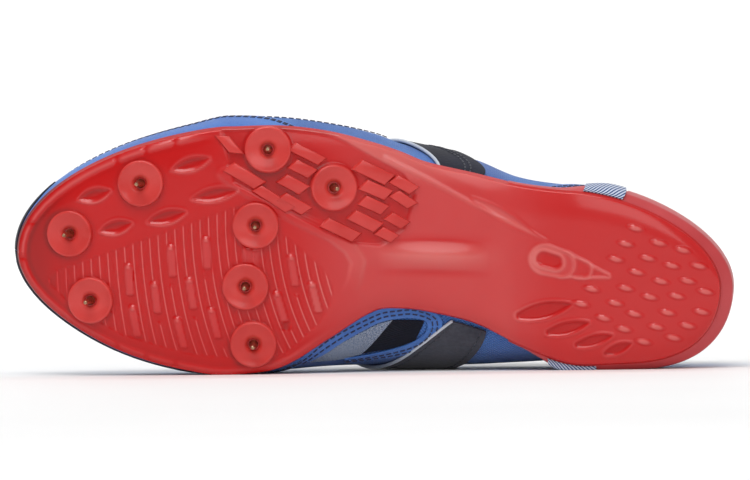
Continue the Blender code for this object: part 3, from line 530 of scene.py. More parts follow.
def plate_red(flow):
    place = flow.object_place()
    cloud = flow.noise(place, 28, 3)
    # crest paints a highlight along the top of each rib.
    crest = ((flow.attribute("rib_phase") * (2 * math.pi)).sine() * 0.5 + 0.5).power(14)
    # tone adds the stored painted shade and highlights, a random cloud and the painted rib highlight.
    tone = flow.attribute("tint") + (cloud - 0.5) * 0.08 + crest * flow.attribute("rib_share") * 0.42
    grain = flow.noise(place, 1400, 2)
    return {"Base Color": flow.colours(tone, RED_SHADE_TO_HIGHLIGHT),
            "Roughness": 0.55 - flow.attribute("face") * 0.35 + (cloud - 0.5) * 0.10
            + (0.5 - flow.attribute("tint")) * 0.12,
            "Coat Weight": flow.attribute("face") * 0.2,
            "Normal": bumped(flow, grain, 0.00003, 0.5)}


def block_red(flow):
    place = flow.object_place()
    cloud = flow.noise(place, 60, 3)
    return {"Base Color": flow.colours(cloud, ((0.3, srgb(192, 44, 40)), (0.7, srgb(206, 64, 60)))),
            "Roughness": 0.24 + (cloud - 0.5) * 0.12,
            "Normal": bumped(flow, flow.noise(place, 1800, 2), 0.00003, 0.5)}


def wedge_red(flow):
    place = flow.object_place()
    cloud = flow.noise(place, 45, 4)
    grain = flow.noise(place, 2600, 2)
    return {"Base Color": flow.colours(cloud, ((0.25, srgb(184, 54, 58)), (0.75, srgb(198, 70, 74)))),
            "Roughness": 0.5 + (cloud - 0.5) * 0.15,
            "Normal": bumped(flow, grain, 0.00006, 0.6)}


GLOSS = {"Coat Weight": 0.2, "Coat Roughness": 0.12, "Specular IOR Level": 0.3, "Subsurface Weight": 0.15,
         "Subsurface Scale": 0.003, "Subsurface Radius": (1.0, 0.1, 0.08)}
clear_red = surface("clear_red", GLOSS, plate_red)
tread_red = surface("tread_red", GLOSS, block_red)
matte_red = surface("matte_red", {"IOR": 1.45, "Sheen Weight": 0.1}, wedge_red)
print("red materials:", clear_red.name, tread_red.name, matte_red.name)

# %% [markdown]
# ### Cloth
#
# Cloth is drawn on a UV map named weave, laid out in metres over each piece, so that threads follow the
# surface as they do on a sewn shoe. Two crossed sine waves make a plain weave: their product decides which
# thread is on top. The coated cloth of the upper only lets a faint weave through its film.

# %% Cloth materials
def threads(flow, pitch):
    """Height of a plain weave of a given thread pitch in metres."""
    place = flow.weave_place()
    turns = 2 * math.pi / pitch
    warp = (flow.across(place, "X") * turns).sine()
    weft = (flow.across(place, "Y") * turns).sine()
    return warp * weft


def film_cloth(dark, light, pitch, roughness, bump):
    def build(flow):
        place = flow.object_place()
        cloud = flow.noise(place, 40, 3)
        fine = flow.noise(place, 900, 2)
        height = threads(flow, pitch)
        tone = cloud * 0.6 + fine * 0.25 + height * 0.12 + 0.06
        return {"Base Color": flow.colours(tone, ((0.25, dark), (0.75, light))),
                "Roughness": roughness + (cloud - 0.5) * 0.15 + height * 0.04,
                "Normal": bumped(flow, height + fine * 0.6, bump, 0.8)}
    return build


def heather_cloth(flow):
    """Open knit of white and blue yarn, with small dark holes."""
    place = flow.weave_place()
    speck = flow.noise(place, 1500, 2)
    height = threads(flow, 0.0011)
    holes = flow.band(height, -0.75, -0.3)
    yarn = flow.colours(speck, ((0.34, srgb(52, 82, 128)), (0.5, srgb(150, 172, 205)),
                                (0.66, srgb(214, 222, 232))))
    return {"Base Color": flow.blend(holes, (*srgb(20, 26, 44), 1), yarn),
            "Roughness": 0.85 - speck * 0.1,
            "Normal": bumped(flow, height * holes + speck, 0.0002, 0.9)}


def striped_cloth(flow):
    """Diagonal twill stripes in white, pale blue and navy."""
    place = flow.weave_place()
    slant = flow.across(place, "X") + flow.across(place, "Y") * 0.6
    wave = (slant * (2 * math.pi / 0.0016)).sine() * 0.5 + 0.5
    step = (flow.across(place, "Y") * (2 * math.pi / 0.0008)).sine() * 0.12
    tone = wave + step + flow.noise(place, 1300, 1) * 0.2
    return {"Base Color": flow.colours(tone, ((0.15, srgb(24, 34, 84)), (0.45, srgb(96, 134, 196)),
                                              (0.75, srgb(206, 214, 230)))),
            "Roughness": 0.75 + wave * 0.1,
            "Normal": bumped(flow, wave, 0.0003, 0.9)}


def suede(dark, light):
    def build(flow):
        place = flow.object_place()
        nap = flow.noise(place, 700, 4)
        cloud = flow.noise(place, 55, 2)
        return {"Base Color": flow.colours(nap * 0.5 + cloud * 0.5, ((0.3, dark), (0.7, light))),
                "Roughness": 0.72 + (nap - 0.5) * 0.2,
                "Normal": bumped(flow, nap, 0.0002, 0.7)}
    return build


SOFT = {"Sheen Weight": 0.25, "Sheen Roughness": 0.4, "Specular IOR Level": 0.35}
blue_film = surface("blue_film", {"Sheen Weight": 0.2, "Specular IOR Level": 0.45},
                    film_cloth(srgb(36, 88, 172), srgb(76, 132, 212), 0.0009, 0.5, 0.00005))
blue_mesh = surface("blue_mesh", SOFT,
                    film_cloth(srgb(30, 70, 150), srgb(88, 140, 214), 0.0014, 0.75, 0.00025))
navy_suede = surface("navy_suede", {"Sheen Weight": 0.06, "Specular IOR Level": 0.2},
                     suede(srgb(12, 13, 26), srgb(34, 36, 54)))
slate_suede = surface("slate_suede", SOFT, suede(srgb(40, 42, 54), srgb(72, 74, 84)))
lining = surface("lining", SOFT, film_cloth(srgb(28, 32, 44), srgb(52, 58, 76), 0.0012, 0.85, 0.0002))
heather = surface("heather_knit", SOFT, heather_cloth)
twill = surface("striped_twill", SOFT, striped_cloth)
# A dark cloth, used only as painted shade beside the arch knit.
black_mesh = surface("black_mesh", {"Specular IOR Level": 0.2},
                     film_cloth(srgb(10, 11, 18), srgb(34, 37, 52), 0.0016, 0.8, 0.0003))
navy_thread = surface("navy_thread", {"Sheen Weight": 0.3},
                      film_cloth(srgb(12, 18, 48), srgb(30, 40, 84), 0.0005, 0.7, 0.0001))
pale_piping = surface("pale_piping", {"Sheen Weight": 0.2},
                      film_cloth(srgb(170, 180, 196), srgb(222, 228, 236), 0.0007, 0.6, 0.00008))
lace_weave = surface("lace_weave", SOFT,
                     film_cloth(srgb(150, 164, 190), srgb(232, 236, 242), 0.0012, 0.8, 0.0003))
print("last cloth:", lace_weave.name)


# %% Steel
def turned_steel(flow):
    """A fine grain and a brown bloom on bright steel."""
    place = flow.object_place()
    bloom = flow.noise(place, 700, 3)
    return {"Base Color": flow.colours(bloom, ((0.3, srgb(128, 84, 62)), (0.7, srgb(204, 172, 140)))),
            "Roughness": 0.22 + bloom * 0.2,
            "Normal": bumped(flow, flow.noise(place, 3000, 1), 0.00002, 0.4)}


steel = surface("turned_steel", {"Metallic": 1.0}, turned_steel)
print("steel:", steel.name)

# %% [markdown]
# ## How a piece is made
#
# Most pieces of a shoe are sheets laid over the last. Each one starts as Blender's own grid, whose corners
# run from 0 to 1 both ways, and a short function moves every corner to its place on the shoe. A Solidify
# modifier then gives the sheet its thickness. Turned pieces are spun from a profile.

# %% Turn a mesh into a piece
MERGE, SHEET_MERGE, SHEET_ANGLE = 0.02 * MM, 0.03 * MM, 60
FOOT_HEART = LAY @ Vector((0.5 * LENGTH, -5 * MM, 30 * MM))
made_pieces = []


def stored(name, mesh):
    """Mesh data from a bmesh, which is freed."""
    data = bpy.data.meshes.new(name)
    mesh.to_mesh(data)
    mesh.free()
    return data


def placed(name, data):
    """A new object in the scene, at the origin until it is moved."""
    made = bpy.data.objects.new(name, data)
    bpy.context.scene.collection.objects.link(made)
    return made


def piece_from(mesh, name, surfaces, replaced=(), angle=35, merge=MERGE, turn=True):
    """Closes a mesh, faces it outwards and hands it over to the frame."""
    if merge:
        bmesh.ops.remove_doubles(mesh, verts=mesh.verts, dist=merge)
        bmesh.ops.dissolve_degenerate(mesh, edges=mesh.edges, dist=merge)
    if turn:
        bmesh.ops.recalc_face_normals(mesh, faces=mesh.faces)
    data = stored(name, mesh)
    data.shade_smooth()
    data.set_sharp_from_angle(angle=math.radians(angle))
    for item in surfaces:
        data.materials.append(item)
    made = placed(name, data)
    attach(made, "root")
    if replaced:
        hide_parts(*replaced)
    made_pieces.append(made)
    print(f"{name}: {len(data.polygons)} faces")
    return made


def laid_grid(mesh, rows, columns, place, weave=None):
    """Adds a grid to a mesh and moves its corners with place(a, b); weave(a, b) gives metres of cloth."""
    layer = mesh.loops.layers.uv.get("weave") or mesh.loops.layers.uv.new("weave")
    made = bmesh.ops.create_grid(mesh, x_segments=rows, y_segments=columns, size=0.5)["verts"]
    own = set(made)
    shares = {corner: (corner.co.x + 0.5, corner.co.y + 0.5) for corner in made}
    if weave:
        for face in {face for corner in made for face in corner.link_faces}:
            for loop in face.loops:
                if loop.vert in own:
                    loop[layer].uv = weave(*shares[loop.vert])
    for corner, (a, b) in shares.items():
        corner.co = LAY @ place(a, b)
    return made


def face_out(mesh):
    """Makes the faces of an open sheet agree, and look away from the middle of the foot."""
    bmesh.ops.remove_doubles(mesh, verts=mesh.verts, dist=SHEET_MERGE)
    bmesh.ops.recalc_face_normals(mesh, faces=mesh.faces)
    if sum(face.normal.dot(face.calc_center_median() - FOOT_HEART) * face.calc_area()
           for face in mesh.faces) < 0:
        bmesh.ops.reverse_faces(mesh, faces=mesh.faces)


def close_ends(mesh):
    """Joins the seams of rolled-up grids and fills the holes at their ends."""
    bmesh.ops.remove_doubles(mesh, verts=mesh.verts, dist=MERGE)
    bmesh.ops.holes_fill(mesh, edges=[edge for edge in mesh.edges if edge.is_boundary], sides=0)


def sheet(name, places, rows, columns, weave, surfaces, replaced=()):
    """An open sheet of one grid per place function, which faces out of the shoe."""
    mesh = bmesh.new()
    for place in places:
        laid_grid(mesh, rows, columns, place, weave)
    face_out(mesh)
    return piece_from(mesh, name, surfaces, replaced, SHEET_ANGLE, SHEET_MERGE, False)


def thicken(piece, wall, offset, soft=0.0, inside=0, even=True):
    """Gives a sheet its wall, and a soft edge."""
    made = piece.modifiers.new("wall", "SOLIDIFY")
    made.thickness = wall
    made.offset = offset
    made.use_even_offset = even
    made.use_quality_normals = True
    made.material_offset = inside
    if soft:
        edge = piece.modifiers.new("soft_edge", "BEVEL")
        edge.width = soft
        edge.segments = 2
        edge.limit_method = "ANGLE"
        edge.angle_limit = math.radians(50)


def settle(piece):
    """Applies a piece's modifiers, so that later steps see its final mesh."""
    bpy.context.view_layer.update()
    graph = bpy.context.evaluated_depsgraph_get()
    data = bpy.data.meshes.new_from_object(piece.evaluated_get(graph))
    piece.modifiers.clear()
    piece.data = data


def cut(piece, mesh):
    """Takes a shape out of a piece with a Boolean, and removes the cutting shape."""
    bmesh.ops.recalc_face_normals(mesh, faces=mesh.faces)
    tool = placed("cutter", stored("cutter", mesh))
    change = piece.modifiers.new("cut", "BOOLEAN")
    change.object = tool
    change.operation = "DIFFERENCE"
    change.solver = "EXACT"
    settle(piece)
    bpy.data.objects.remove(tool)


def ends_dense(a, rows=0.08, reach=0.03):
    """Spreads rows so that they lie close together at both ends."""
    if a < rows:
        return reach * (a / rows) ** 2
    if a > 1 - rows:
        return 1 - reach * ((1 - a) / rows) ** 2
    return reach + (1 - 2 * reach) * (a - rows) / (1 - 2 * rows)


print("rows at the toe:", [round(ends_dense(a), 4) for a in (0.95, 0.98, 1)])

# %% [markdown]
# ## Upper
#
# On a real shoe the upper is cut flat, sewn, and pulled over the last. Its margin is turned in under the
# foot and glued to the sole. Here each half is one grid that runs from that margin, round the widest line,
# up to the collar, the throat or the top line. The two halves meet at heel and toe, and Solidify adds the
# wall to the inside, with the lining as its second material.

# %% Upper shell
MARGIN_SHARE, LOWER_SHARE = 0.06, 0.40


def upper_place(side):
    def place(a, b):
        s = ends_dense(a)
        if b < MARGIN_SHARE:
            return feather(s, side, 7 * MM * (1 - b / MARGIN_SHARE)).copy()
        if b < LOWER_SHARE:
            return on_skin(s, side, (b - MARGIN_SHARE) / (LOWER_SHARE - MARGIN_SHARE))
        return on_skin(s, side, 1 + (rim_level(s, side) - 1) * (b - LOWER_SHARE) / (1 - LOWER_SHARE))
    return place


def cloth_metres(a, b):
    return a * LENGTH, b * 0.13


upper = sheet("upper_shell", [upper_place(side) for side in SIDES], 150, 40, cloth_metres,
              [blue_mesh, lining], ["upper"])
thicken(upper, UPPER_WALL, -1, inside=1)

# %% [markdown]
# ## Sole plate
#
# The plate is moulded in one piece, and nearly all that the picture shows of it is relief: ribs, wells,
# small nubs and raised lines. Cutting each of those would take hundreds of operations. Instead the
# underside is one dense grid, and a few height functions say how far each point stands out. They work on
# whole arrays, in millimetres: x forward from the heel, y to the outer side.

# %% Distances that the relief is built from
def from_line(x, y, start, end):
    """Distance from a line, and how far along it the nearest point is."""
    dx, dy = end[0] - start[0], end[1] - start[1]
    t = np.clip(((x - start[0]) * dx + (y - start[1]) * dy) / (dx * dx + dy * dy), 0, 1)
    return np.hypot(x - start[0] - t * dx, y - start[1] - t * dy), t


def from_path(x, y, points):
    return np.min([from_line(x, y, low, high)[0] for low, high in zip(points, points[1:])], axis=0)


def from_drop(x, y, start, end, wide, narrow):
    """Distance outside a drop with a round end and a slim end, negative inside."""
    far, t = from_line(x, y, start, end)
    return far - (wide + (narrow - wide) * t)


def from_field(x, y, corners):
    """Distance outside a field with straight sides, negative inside."""
    ring = list(zip(corners, corners[1:] + corners[:1]))
    far = np.min([from_line(x, y, low, high)[0] for low, high in ring], axis=0)
    within = np.zeros(x.shape, bool)
    for (x0, y0), (x1, y1) in ring:
        if y0 != y1:
            within ^= ((y0 > y) != (y1 > y)) & (x < (x1 - x0) * (y - y0) / (y1 - y0) + x0)
    return np.where(within, -far, far)


def lip(distance, width):
    """A soft raised line where a distance is zero."""
    return np.exp(-(distance / width) ** 2)


print("a lip of width 0.5 mm is", round(float(lip(np.array(0.5), 0.5)), 2), "high at 0.5 mm")

# %% [markdown]
# ### Forefoot relief
#
# A fan of fine ribs covers the inner forefoot. Each rib runs straight down from the field's upper edge and
# then leans towards the arch. Short bars stand among the ribs, each with a dome at one end and a small pit
# at the other. Towards the outer side lie leaf-shaped wells with a raised lower lip.

# %% Forefoot tables and heights
RIB_FIELD = [(264, -11), (260, -6.5), (225, 6.5), (191, 19), (181, 17), (173.5, 9), (165, 2), (157.5, -5),
             (153.5, -12), (154.5, -19), (159, -26.5), (165, -32), (171, -37.5), (180, -41), (210, -38.5),
             (235, -31.5), (254, -21)]
RIB_PITCH = 3.25
Bar = namedtuple("Bar", "x y lean")
BARS = (Bar(232.3, -5.0, 4), Bar(216, 2.5, 4), Bar(202.5, 5.7, 3), Bar(222.3, -11.8, 7), Bar(208.9, -10, 9),
        Bar(230.7, -21, 10), Bar(213.5, -25.2, 14), Bar(200.5, -21.4, 14), Bar(170, -1, 9),
        Bar(162, -11.5, 14), Bar(175.4, -15, 16))
Well = namedtuple("Well", "x y long turn")
WELLS = (Well(245.3, 22.5, 14.5, 17), Well(208.3, 34.8, 16.5, 18), Well(199.1, 23.3, 19.5, 12),
         Well(237, 10.3, 14.5, 16), Well(217.5, 14.5, 17, 16))
LUG_FIELD = [(197, 48), (192, 27.5), (180, 21), (166, 13.5), (156, 8), (147, 4), (136, 3), (126.5, 9.5),
             (122, 23), (127, 31), (131.5, 33.5), (149, 43.5), (158, 47.5), (172, 49)]


def along_bar(bar, far):
    """A place on a bar's line, at a distance from its upper end."""
    way = math.radians(bar.lean)
    return bar.x - far * math.sin(way), bar.y - far * math.cos(way)


def rib_lean(x, y):
    """How far a rib has leant towards the arch at a place."""
    return (0.0016 + 0.000042 * (240 - x)) * np.maximum(0, 15 - y) ** 2


def from_web(x, y):
    """Distance outside the web between two of the seats, a bar with a narrow waist."""
    return from_drop(x, y, (183.5, 11), (187.4, -12), 5.2, 5.2) + 2.2 * lip(y + 0.6, 6.5)


def rib_free(x, y):
    """1 where ribs stand, 0 outside their field, on the bars and on the web between two of the seats."""
    free = ramp(-from_field(x, y, RIB_FIELD), 0.2, 1.0) * ramp(from_web(x, y), -0.2, 0.5)
    for bar in BARS:
        free = free * ramp(from_line(x, y, (bar.x, bar.y), along_bar(bar, 13.5))[0], 1.5, 2.0)
    return free


def forefoot(x, y):
    """Height of the forefoot relief, and its painted shade and painted highlights."""
    mask = ramp(-from_field(x, y, RIB_FIELD), -0.1, 0.9)
    rib = (0.5 + 0.5 * np.cos(2 * np.pi * (x + rib_lean(x, y)) / RIB_PITCH)) ** 6
    bars = np.zeros_like(x)
    for bar in BARS:
        pit = along_bar(bar, 12.6)
        far = from_line(x, y, (bar.x, bar.y), along_bar(bar, 10))[0]
        rib = rib * (1 - ramp(-far, -2.6, -1.7))
        bars = np.maximum(bars, ramp(-far, -1.7, -1.1) * 0.75)
        bars = np.maximum(bars, 1.25 * ramp(-np.hypot(x - bar.x, y - bar.y), -1.5, -0.4))
        deep = ramp(-np.maximum(abs(x - pit[0]) - 1.2, abs(y - pit[1]) - 1.6), -0.4, 0.3)
        bars = bars * (1 - deep) - 0.5 * deep
        rib = rib * (1 - deep)
    height = mask * (np.maximum(rib * 0.6, bars) + np.minimum(bars, 0) - 0.3)
    # The second value paints highlights on ribs, bars and domes, and shade in the pits.
    tint = mask * (rib * 0.08 - 0.05 + np.clip(bars, -0.5, 1.3) * 0.38)
    for well in WELLS:
        way = math.radians(180 - well.turn)
        half = (well.long / 2 - 1.2) * math.cos(way), (well.long / 2 - 1.2) * math.sin(way)
        far, t = from_line(x, y, (well.x - half[0], well.y - half[1]), (well.x + half[0], well.y + half[1]))
        leaf = far - 0.5 - 2.2 * np.sin(np.pi * t) ** 0.8
        low_side = ramp(-(y - well.y) - (x - well.x) * math.tan(math.radians(well.turn)), -1.5, 2.5)
        edge = lip(leaf - 0.3, 0.5)
        height += -0.75 * ramp(-leaf, -0.2, 1.8) + edge * (0.12 + 0.3 * low_side)
        # Painted shade inside each well, and a painted highlight on its lip, stronger on the low side.
        tint += -0.30 * ramp(-leaf, 0, 1.6) * (1.1 - low_side) + edge * (0.14 + 0.30 * low_side)
    return height, tint


print("bars:", len(BARS), "wells:", len(WELLS))

# %% [markdown]
# ### Bands, arch and heel relief
#
# A smooth band runs along the lower edge of the lugs and swells into a tongue at the arch. Behind it the
# arch carries a long dome and a fine crest. At the heel lie four nested leaves with raised edges, four
# sunk drops and a scatter of small nubs. The web between two of the spike seats is a bar with a narrow waist.

# %% Heights of the bands, the arch and the heel
NUBS = ((38.6, 10.3), (42.4, 4.4), (29.8, 4.7), (20.6, 1.9), (46.2, -1.5), (34, -1.1), (14.5, -4.2),
        (38.2, -6.5), (24.8, -4), (18.7, -9.9), (42.4, -12.6), (29, -10), (11.8, -14.1), (22.9, -15.7),
        (33.2, -16), (55.4, -13), (59.4, -18.7), (46.4, -18.3), (50.8, -24.1), (39, -22.5), (43, -28.3),
        (35.5, -33.2), (30.6, -27.5), (24.1, -31.7), (18.7, -27.1), (13.4, -21.8), (26.4, -22))
Drop = namedtuple("Drop", "start end wide narrow")
DROPS = (Drop((82.6, -23.6), (63.2, -18.9), 3.3, 0.4), Drop((71.4, -29.8), (56.6, -25.9), 2.6, 0.4),
         Drop((60.6, -34.4), (47.6, -30.8), 2.3, 0.4), Drop((49.6, -37.6), (40.2, -33.8), 2.1, 0.3))
LEAVES = (Drop((73.6, -1.6), (69.2, -2.8), 3.4, 3.2), Drop((73.2, -1.8), (66.8, -3.6), 5.6, 5.0),
          Drop((66, -3.6), (58.6, -5.6), 4.6, 3.2), Drop((60, -5.4), (49, -8), 3.4, 0.6))
BAND = [(195, 31), (186, 24.5), (166, 13.3), (154, 7.5), (147.5, 2.5), (144.5, -3), (146, -10), (150, -20)]
CREST = [(134, 36.5), (118, 28.5), (101, 19.2), (86, 12), (72.6, 5.6)]
SHANK = ((138, -0.2), (93, -1.4))


def bands(x, y):
    """Height of the bands, the arch dome and the crest, and their painted shade and painted highlights."""
    band = from_path(x, y, BAND)
    height = 0.55 * ramp(-band, -3.4, -1.6) * ramp(y, -19, -4)
    # The second value paints highlights on the raised band, the web, the dome, the crest and the facet, and a
    # line of shade along the dome's edge.
    tint = (0.07 * ramp(-band, -3.2, -1.8) + 0.12 * lip(band - 2.6, 0.8)) * ramp(y, -17, 0)
    web = from_web(x, y)
    height = np.maximum(height, 0.7 * ramp(-web, -0.5, 0.7))
    tint += 0.16 * lip(web, 0.6) + 0.22 * ramp(-web, -0.2, 0.8)
    far, t = from_line(x, y, *SHANK)
    dome = ramp(-far, -7.2, 0.5) * np.sin(np.pi * np.clip(t, 0.02, 0.98)) ** 0.7
    height += 1.2 * dome
    tint += 0.24 * dome - 0.12 * lip(far - 6.6, 1.2) * np.sin(np.pi * t)
    crest = from_path(x, y, CREST)
    height += 0.25 * lip(crest, 0.9)
    tint += 0.10 * lip(crest, 0.8)
    far, t = from_line(x, y, (101, 21.5), (73.5, 5.2))
    facet = far - 0.2 - 2.6 * np.sin(np.pi * t) * (1 - 0.5 * t)
    height += -0.25 * ramp(-facet, -0.2, 1.8) + 0.12 * lip(facet, 0.6)
    tint += 0.10 * ramp(-facet, 0, 1.5)
    return height, tint


def heel(x, y):
    """Height of the nested leaves, the drops and the nubs, and their painted shade and painted highlights."""
    height, tint = np.zeros_like(x), np.zeros_like(x)
    covered = np.zeros_like(x)
    # The second value paints highlights on the leaf edges, the drop lips and the nubs, and shade inside the
    # inner leaf, the drops and round each nub.
    for leaf in LEAVES:
        edge = from_drop(x, y, *leaf)
        height += 0.34 * lip(edge, 0.7) * (1 - covered)
        tint += 0.30 * lip(edge, 0.75) * (1 - covered)
        covered = np.maximum(covered, ramp(-edge, -0.6, 0.2))
    ring = from_drop(x, y, *LEAVES[1])
    inner = from_drop(x, y, *LEAVES[0])
    tint += 0.16 * ramp(-ring, 0.2, 0.9) * ramp(inner, 0.0, 0.6) - 0.12 * ramp(-inner, 0.2, 1.4)
    height -= 0.35 * ramp(-inner, 0.2, 1.8)
    for drop in DROPS:
        far, t = from_line(x, y, drop.start, drop.end)
        edge = far - drop.narrow - (drop.wide - drop.narrow) * np.sin(np.pi * (0.12 + 0.88 * t)) ** 0.8
        height += -0.55 * ramp(-edge, 0, 1.1) + 0.28 * lip(edge - 0.35, 0.5)
        tint += -0.30 * ramp(-edge, -0.1, 0.8) + 0.12 * lip(edge - 0.4, 0.5)
    way = math.radians(12)
    for nub_x, nub_y in NUBS:
        along = (x - nub_x) * math.cos(way) + (y - nub_y) * math.sin(way)
        aside = (y - nub_y) * math.cos(way) - (x - nub_x) * math.sin(way)
        round_off = 1 - (along / 3.2) ** 2 - (aside / 1.3) ** 2
        height += 0.6 * ramp(round_off, -0.1, 0.9)
        tint += 0.34 * ramp(round_off, 0.05, 0.9) - 0.10 * lip(round_off + 0.35, 0.3)
    return height, tint


print("nubs:", len(NUBS), "leaves:", len(LEAVES), "drops:", len(DROPS))

# %% [markdown]
# ### The moulded plate
#
# The grid runs once round the plate's section: across the underside, up the rim, over the top and down the
# other rim. Its two long edges meet and are merged. The relief fades out towards the rim, where a raised
# lip follows the toe.

# %% Plate section
PLATE_ROWS, PLATE_COLUMNS = 500, 192
UNDER_SHARE, RIM_SHARE, RIM_TURN = 168 / 192, 6 / 192, 0.67
SOLE_INSET = 0.8 * MM
Seat = namedtuple("Seat", "name x y")
SEATS = (Seat("toe_outer", 254.7, 7.4), Seat("toe_inner", 246.7, -18.0), Seat("front_outer", 227.4, 27.1),
         Seat("ball_outer", 178.8, 40.4), Seat("rear_outer", 153.7, 25.7), Seat("ball_centre", 183.5, 11.4),
         Seat("ball_middle", 187.4, -12.0), Seat("ball_inner", 184.4, -34.1))


@lru_cache(maxsize=None)
def rim_points(s, side):
    """The rim's low edge, its upper edge, and where it meets the upper."""
    low = plate_edge(s, side, SOLE_INSET)
    x, y = plate_edge(s, side)
    bottom = Vector((*low, plate_under(*low)))
    if s <= WEDGE_END:
        top = ground_line(x) + PLATE_WALL + arch_lift(x, 1, side)
        return bottom, Vector((x, y, top)), Vector((x, axis_y(x) + (y - axis_y(x)) * 0.9, top))
    inside = hug(s, side, plate_level(s, side), CLEAR)
    return bottom, Vector((x, y, inside.z)), inside


def plate_place(a, b):
    s = ends_dense(a)
    if b <= UNDER_SHARE:
        share = 2 * b / UNDER_SHARE - 1
        side = OUTER if share >= 0 else INNER
        x, edge = plate_edge(s, side, SOLE_INSET)
        y = axis_y(x) + (edge - axis_y(x)) * abs(share)
        return Vector((x, y, plate_under(x, y)))
    if b <= UNDER_SHARE + RIM_SHARE or b >= 1 - RIM_SHARE:
        side = OUTER if b < 0.95 else INNER
        climb = (b - UNDER_SHARE) / RIM_SHARE if side == OUTER else (1 - b) / RIM_SHARE
        bottom, edge, inside = rim_points(s, side)
        if climb < RIM_TURN:
            return bottom.lerp(edge, climb / RIM_TURN)
        return edge.lerp(inside, min(1.0, (climb - RIM_TURN) / (1 - RIM_TURN)))
    share = 1 - 2 * (b - UNDER_SHARE - RIM_SHARE) / (1 - UNDER_SHARE - 2 * RIM_SHARE)
    side = OUTER if share >= 0 else INNER
    inside = rim_points(s, side)[2]
    middle = Vector((inside.x, axis_y(inside.x), 0))
    low = PLATE_WALL if s <= WEDGE_END else PLATE_WALL - CLEAR
    middle.z = ground_line(middle.x) + low
    point = middle.lerp(inside, abs(share))
    if s > WEDGE_END:
        point.z = middle.z + (inside.z - middle.z) * abs(share) ** 4
    return point


print("plate rim at the toe in mm:", round(rim_points(0.97, OUTER)[1].z / MM, 1))

# %% Lay the plate's grid and measure its corners
plate_mesh = bmesh.new()
layers = [plate_mesh.verts.layers.float.new(name) for name in ("tint", "rib_phase", "rib_share", "face")]
corners = laid_grid(plate_mesh, PLATE_ROWS, PLATE_COLUMNS, plate_place)
flat = np.array([tuple(STAND @ corner.co) for corner in corners])
x_mm, y_mm = flat[:, 0] / MM, flat[:, 1] / MM
under_z = np.array([plate_under(x, y) for x, y in flat[:, :2]])
under = np.abs(flat[:, 2] - under_z) < 0.02 * MM
share = np.array([across_share(x, y)[0] for x, y in flat[:, :2]])
axis_mm = np.array([axis_y(x) for x in flat[:, 0]]) / MM
halves = [[plate_edge(ends_dense(step / 60), side) for step in range(61)] for side in SIDES]
outline = [(x / MM, y / MM) for x, y in halves[0] + halves[1][-2::-1]]
rim_far = from_path(x_mm, y_mm, outline)
print("corners:", len(corners), "of which underneath:", int(under.sum()))

# %% Sum the relief round the spike seats
height, tint = np.zeros_like(x_mm), np.zeros_like(x_mm)
for feature in (forefoot, bands, heel):
    feature_height, feature_painted_light_and_tone = feature(x_mm, y_mm)
    height += feature_height
    tint += feature_painted_light_and_tone
lug_floor = ramp(-from_field(x_mm, y_mm, LUG_FIELD), -0.3, 0.9)
height -= 0.5 * lug_floor
# Painted shade on the sunk floor of the lug field.
tint -= 0.26 * lug_floor
ribbed = rib_free(x_mm, y_mm) * under
for seat in SEATS:
    far = np.hypot(x_mm - seat.x, y_mm - seat.y)
    calm = ramp(far, 8.5, 9.4)
    # Painted shade in a ring round each seat.
    height, tint = height * calm, tint * calm - 0.16 * lip(far - 9.4, 0.9)
    ribbed = ribbed * ramp(far, 8.8, 9.4)
print("ribbed corners:", int((ribbed > 0.5).sum()))

# %% Raise the toe's lip, shade the plate and mould it
RIM_GAPS_ALONG, RIM_GAPS_AHEAD = (236.5, 225.4, 214.3), (11.1, -2.3)
front_rim = np.where(y_mm > axis_mm, ramp(x_mm, 196, 214), ramp(x_mm, 150, 176) * 0.75)
toe_lip = front_rim * lip(rim_far - 2.4, 1.0)
rim_gap = ramp(x_mm, 196, 204) * np.max([lip(x_mm - at, 1.1) for at in RIM_GAPS_ALONG], axis=0)
rim_gap += ramp(x_mm, 260, 264) * sum(lip(y_mm - at, 1.0) for at in RIM_GAPS_AHEAD)
rim_gap *= rim_far < 5
height += 0.6 * toe_lip * (1 - rim_gap)
# Painted highlight on the raised toe lip, broken at the gaps, and a line of painted shade inside it.
tint += 0.36 * toe_lip * (1 - 0.8 * rim_gap) - 0.12 * front_rim * lip(rim_far - 4.6, 0.9)
tint -= 0.30 * ramp(x_mm, 248, 268) * (1 - toe_lip)
# Painted highlight over the arch and the heel.
tint += 0.27 * ramp(-abs(x_mm - 116), -58, -26) + 0.10 * ramp(-x_mm, -76, -58)
# Painted highlight along the outer side, which faces the light; painted shade on the inner forefoot and on
# the rim walls.
outer_side_highlight = ramp(y_mm, 24, 38) * ramp(-abs(x_mm - 128), -78, -48) * ramp(share, 0.55, 0.9)
tint += 0.20 * outer_side_highlight - 0.10 * ramp(-y_mm, 18, 34) * ramp(x_mm, 170, 190) - 0.22 * (1 - under)
phase = (x_mm + rib_lean(x_mm, y_mm)) / RIB_PITCH + 0.25
rises = height * under * ramp(rim_far, 0.7, 1.6) * MM
for corner, rise, *values in zip(corners, rises, np.clip(0.5 + tint, 0, 1), phase, ribbed, under):
    corner.co += DOWN * rise
    for layer, value in zip(layers, values):
        corner[layer] = float(value)
piece_from(plate_mesh, "moulded_plate", [clear_red], ["outsole_plate"], 75)
print("relief from", round(float(height.min()), 2), "to", round(float(height.max()), 2), "mm")

# %% [markdown]
# ## Spike seats, spikes and lugs
#
# A spike seat and a spike are turned parts, so each is a profile spun round its axis. The lugs are small
# blocks: a cube, sheared so that its ends run nearly across the shoe, with a bevel on its upper edges.
# All of them stand square to the plate's surface.

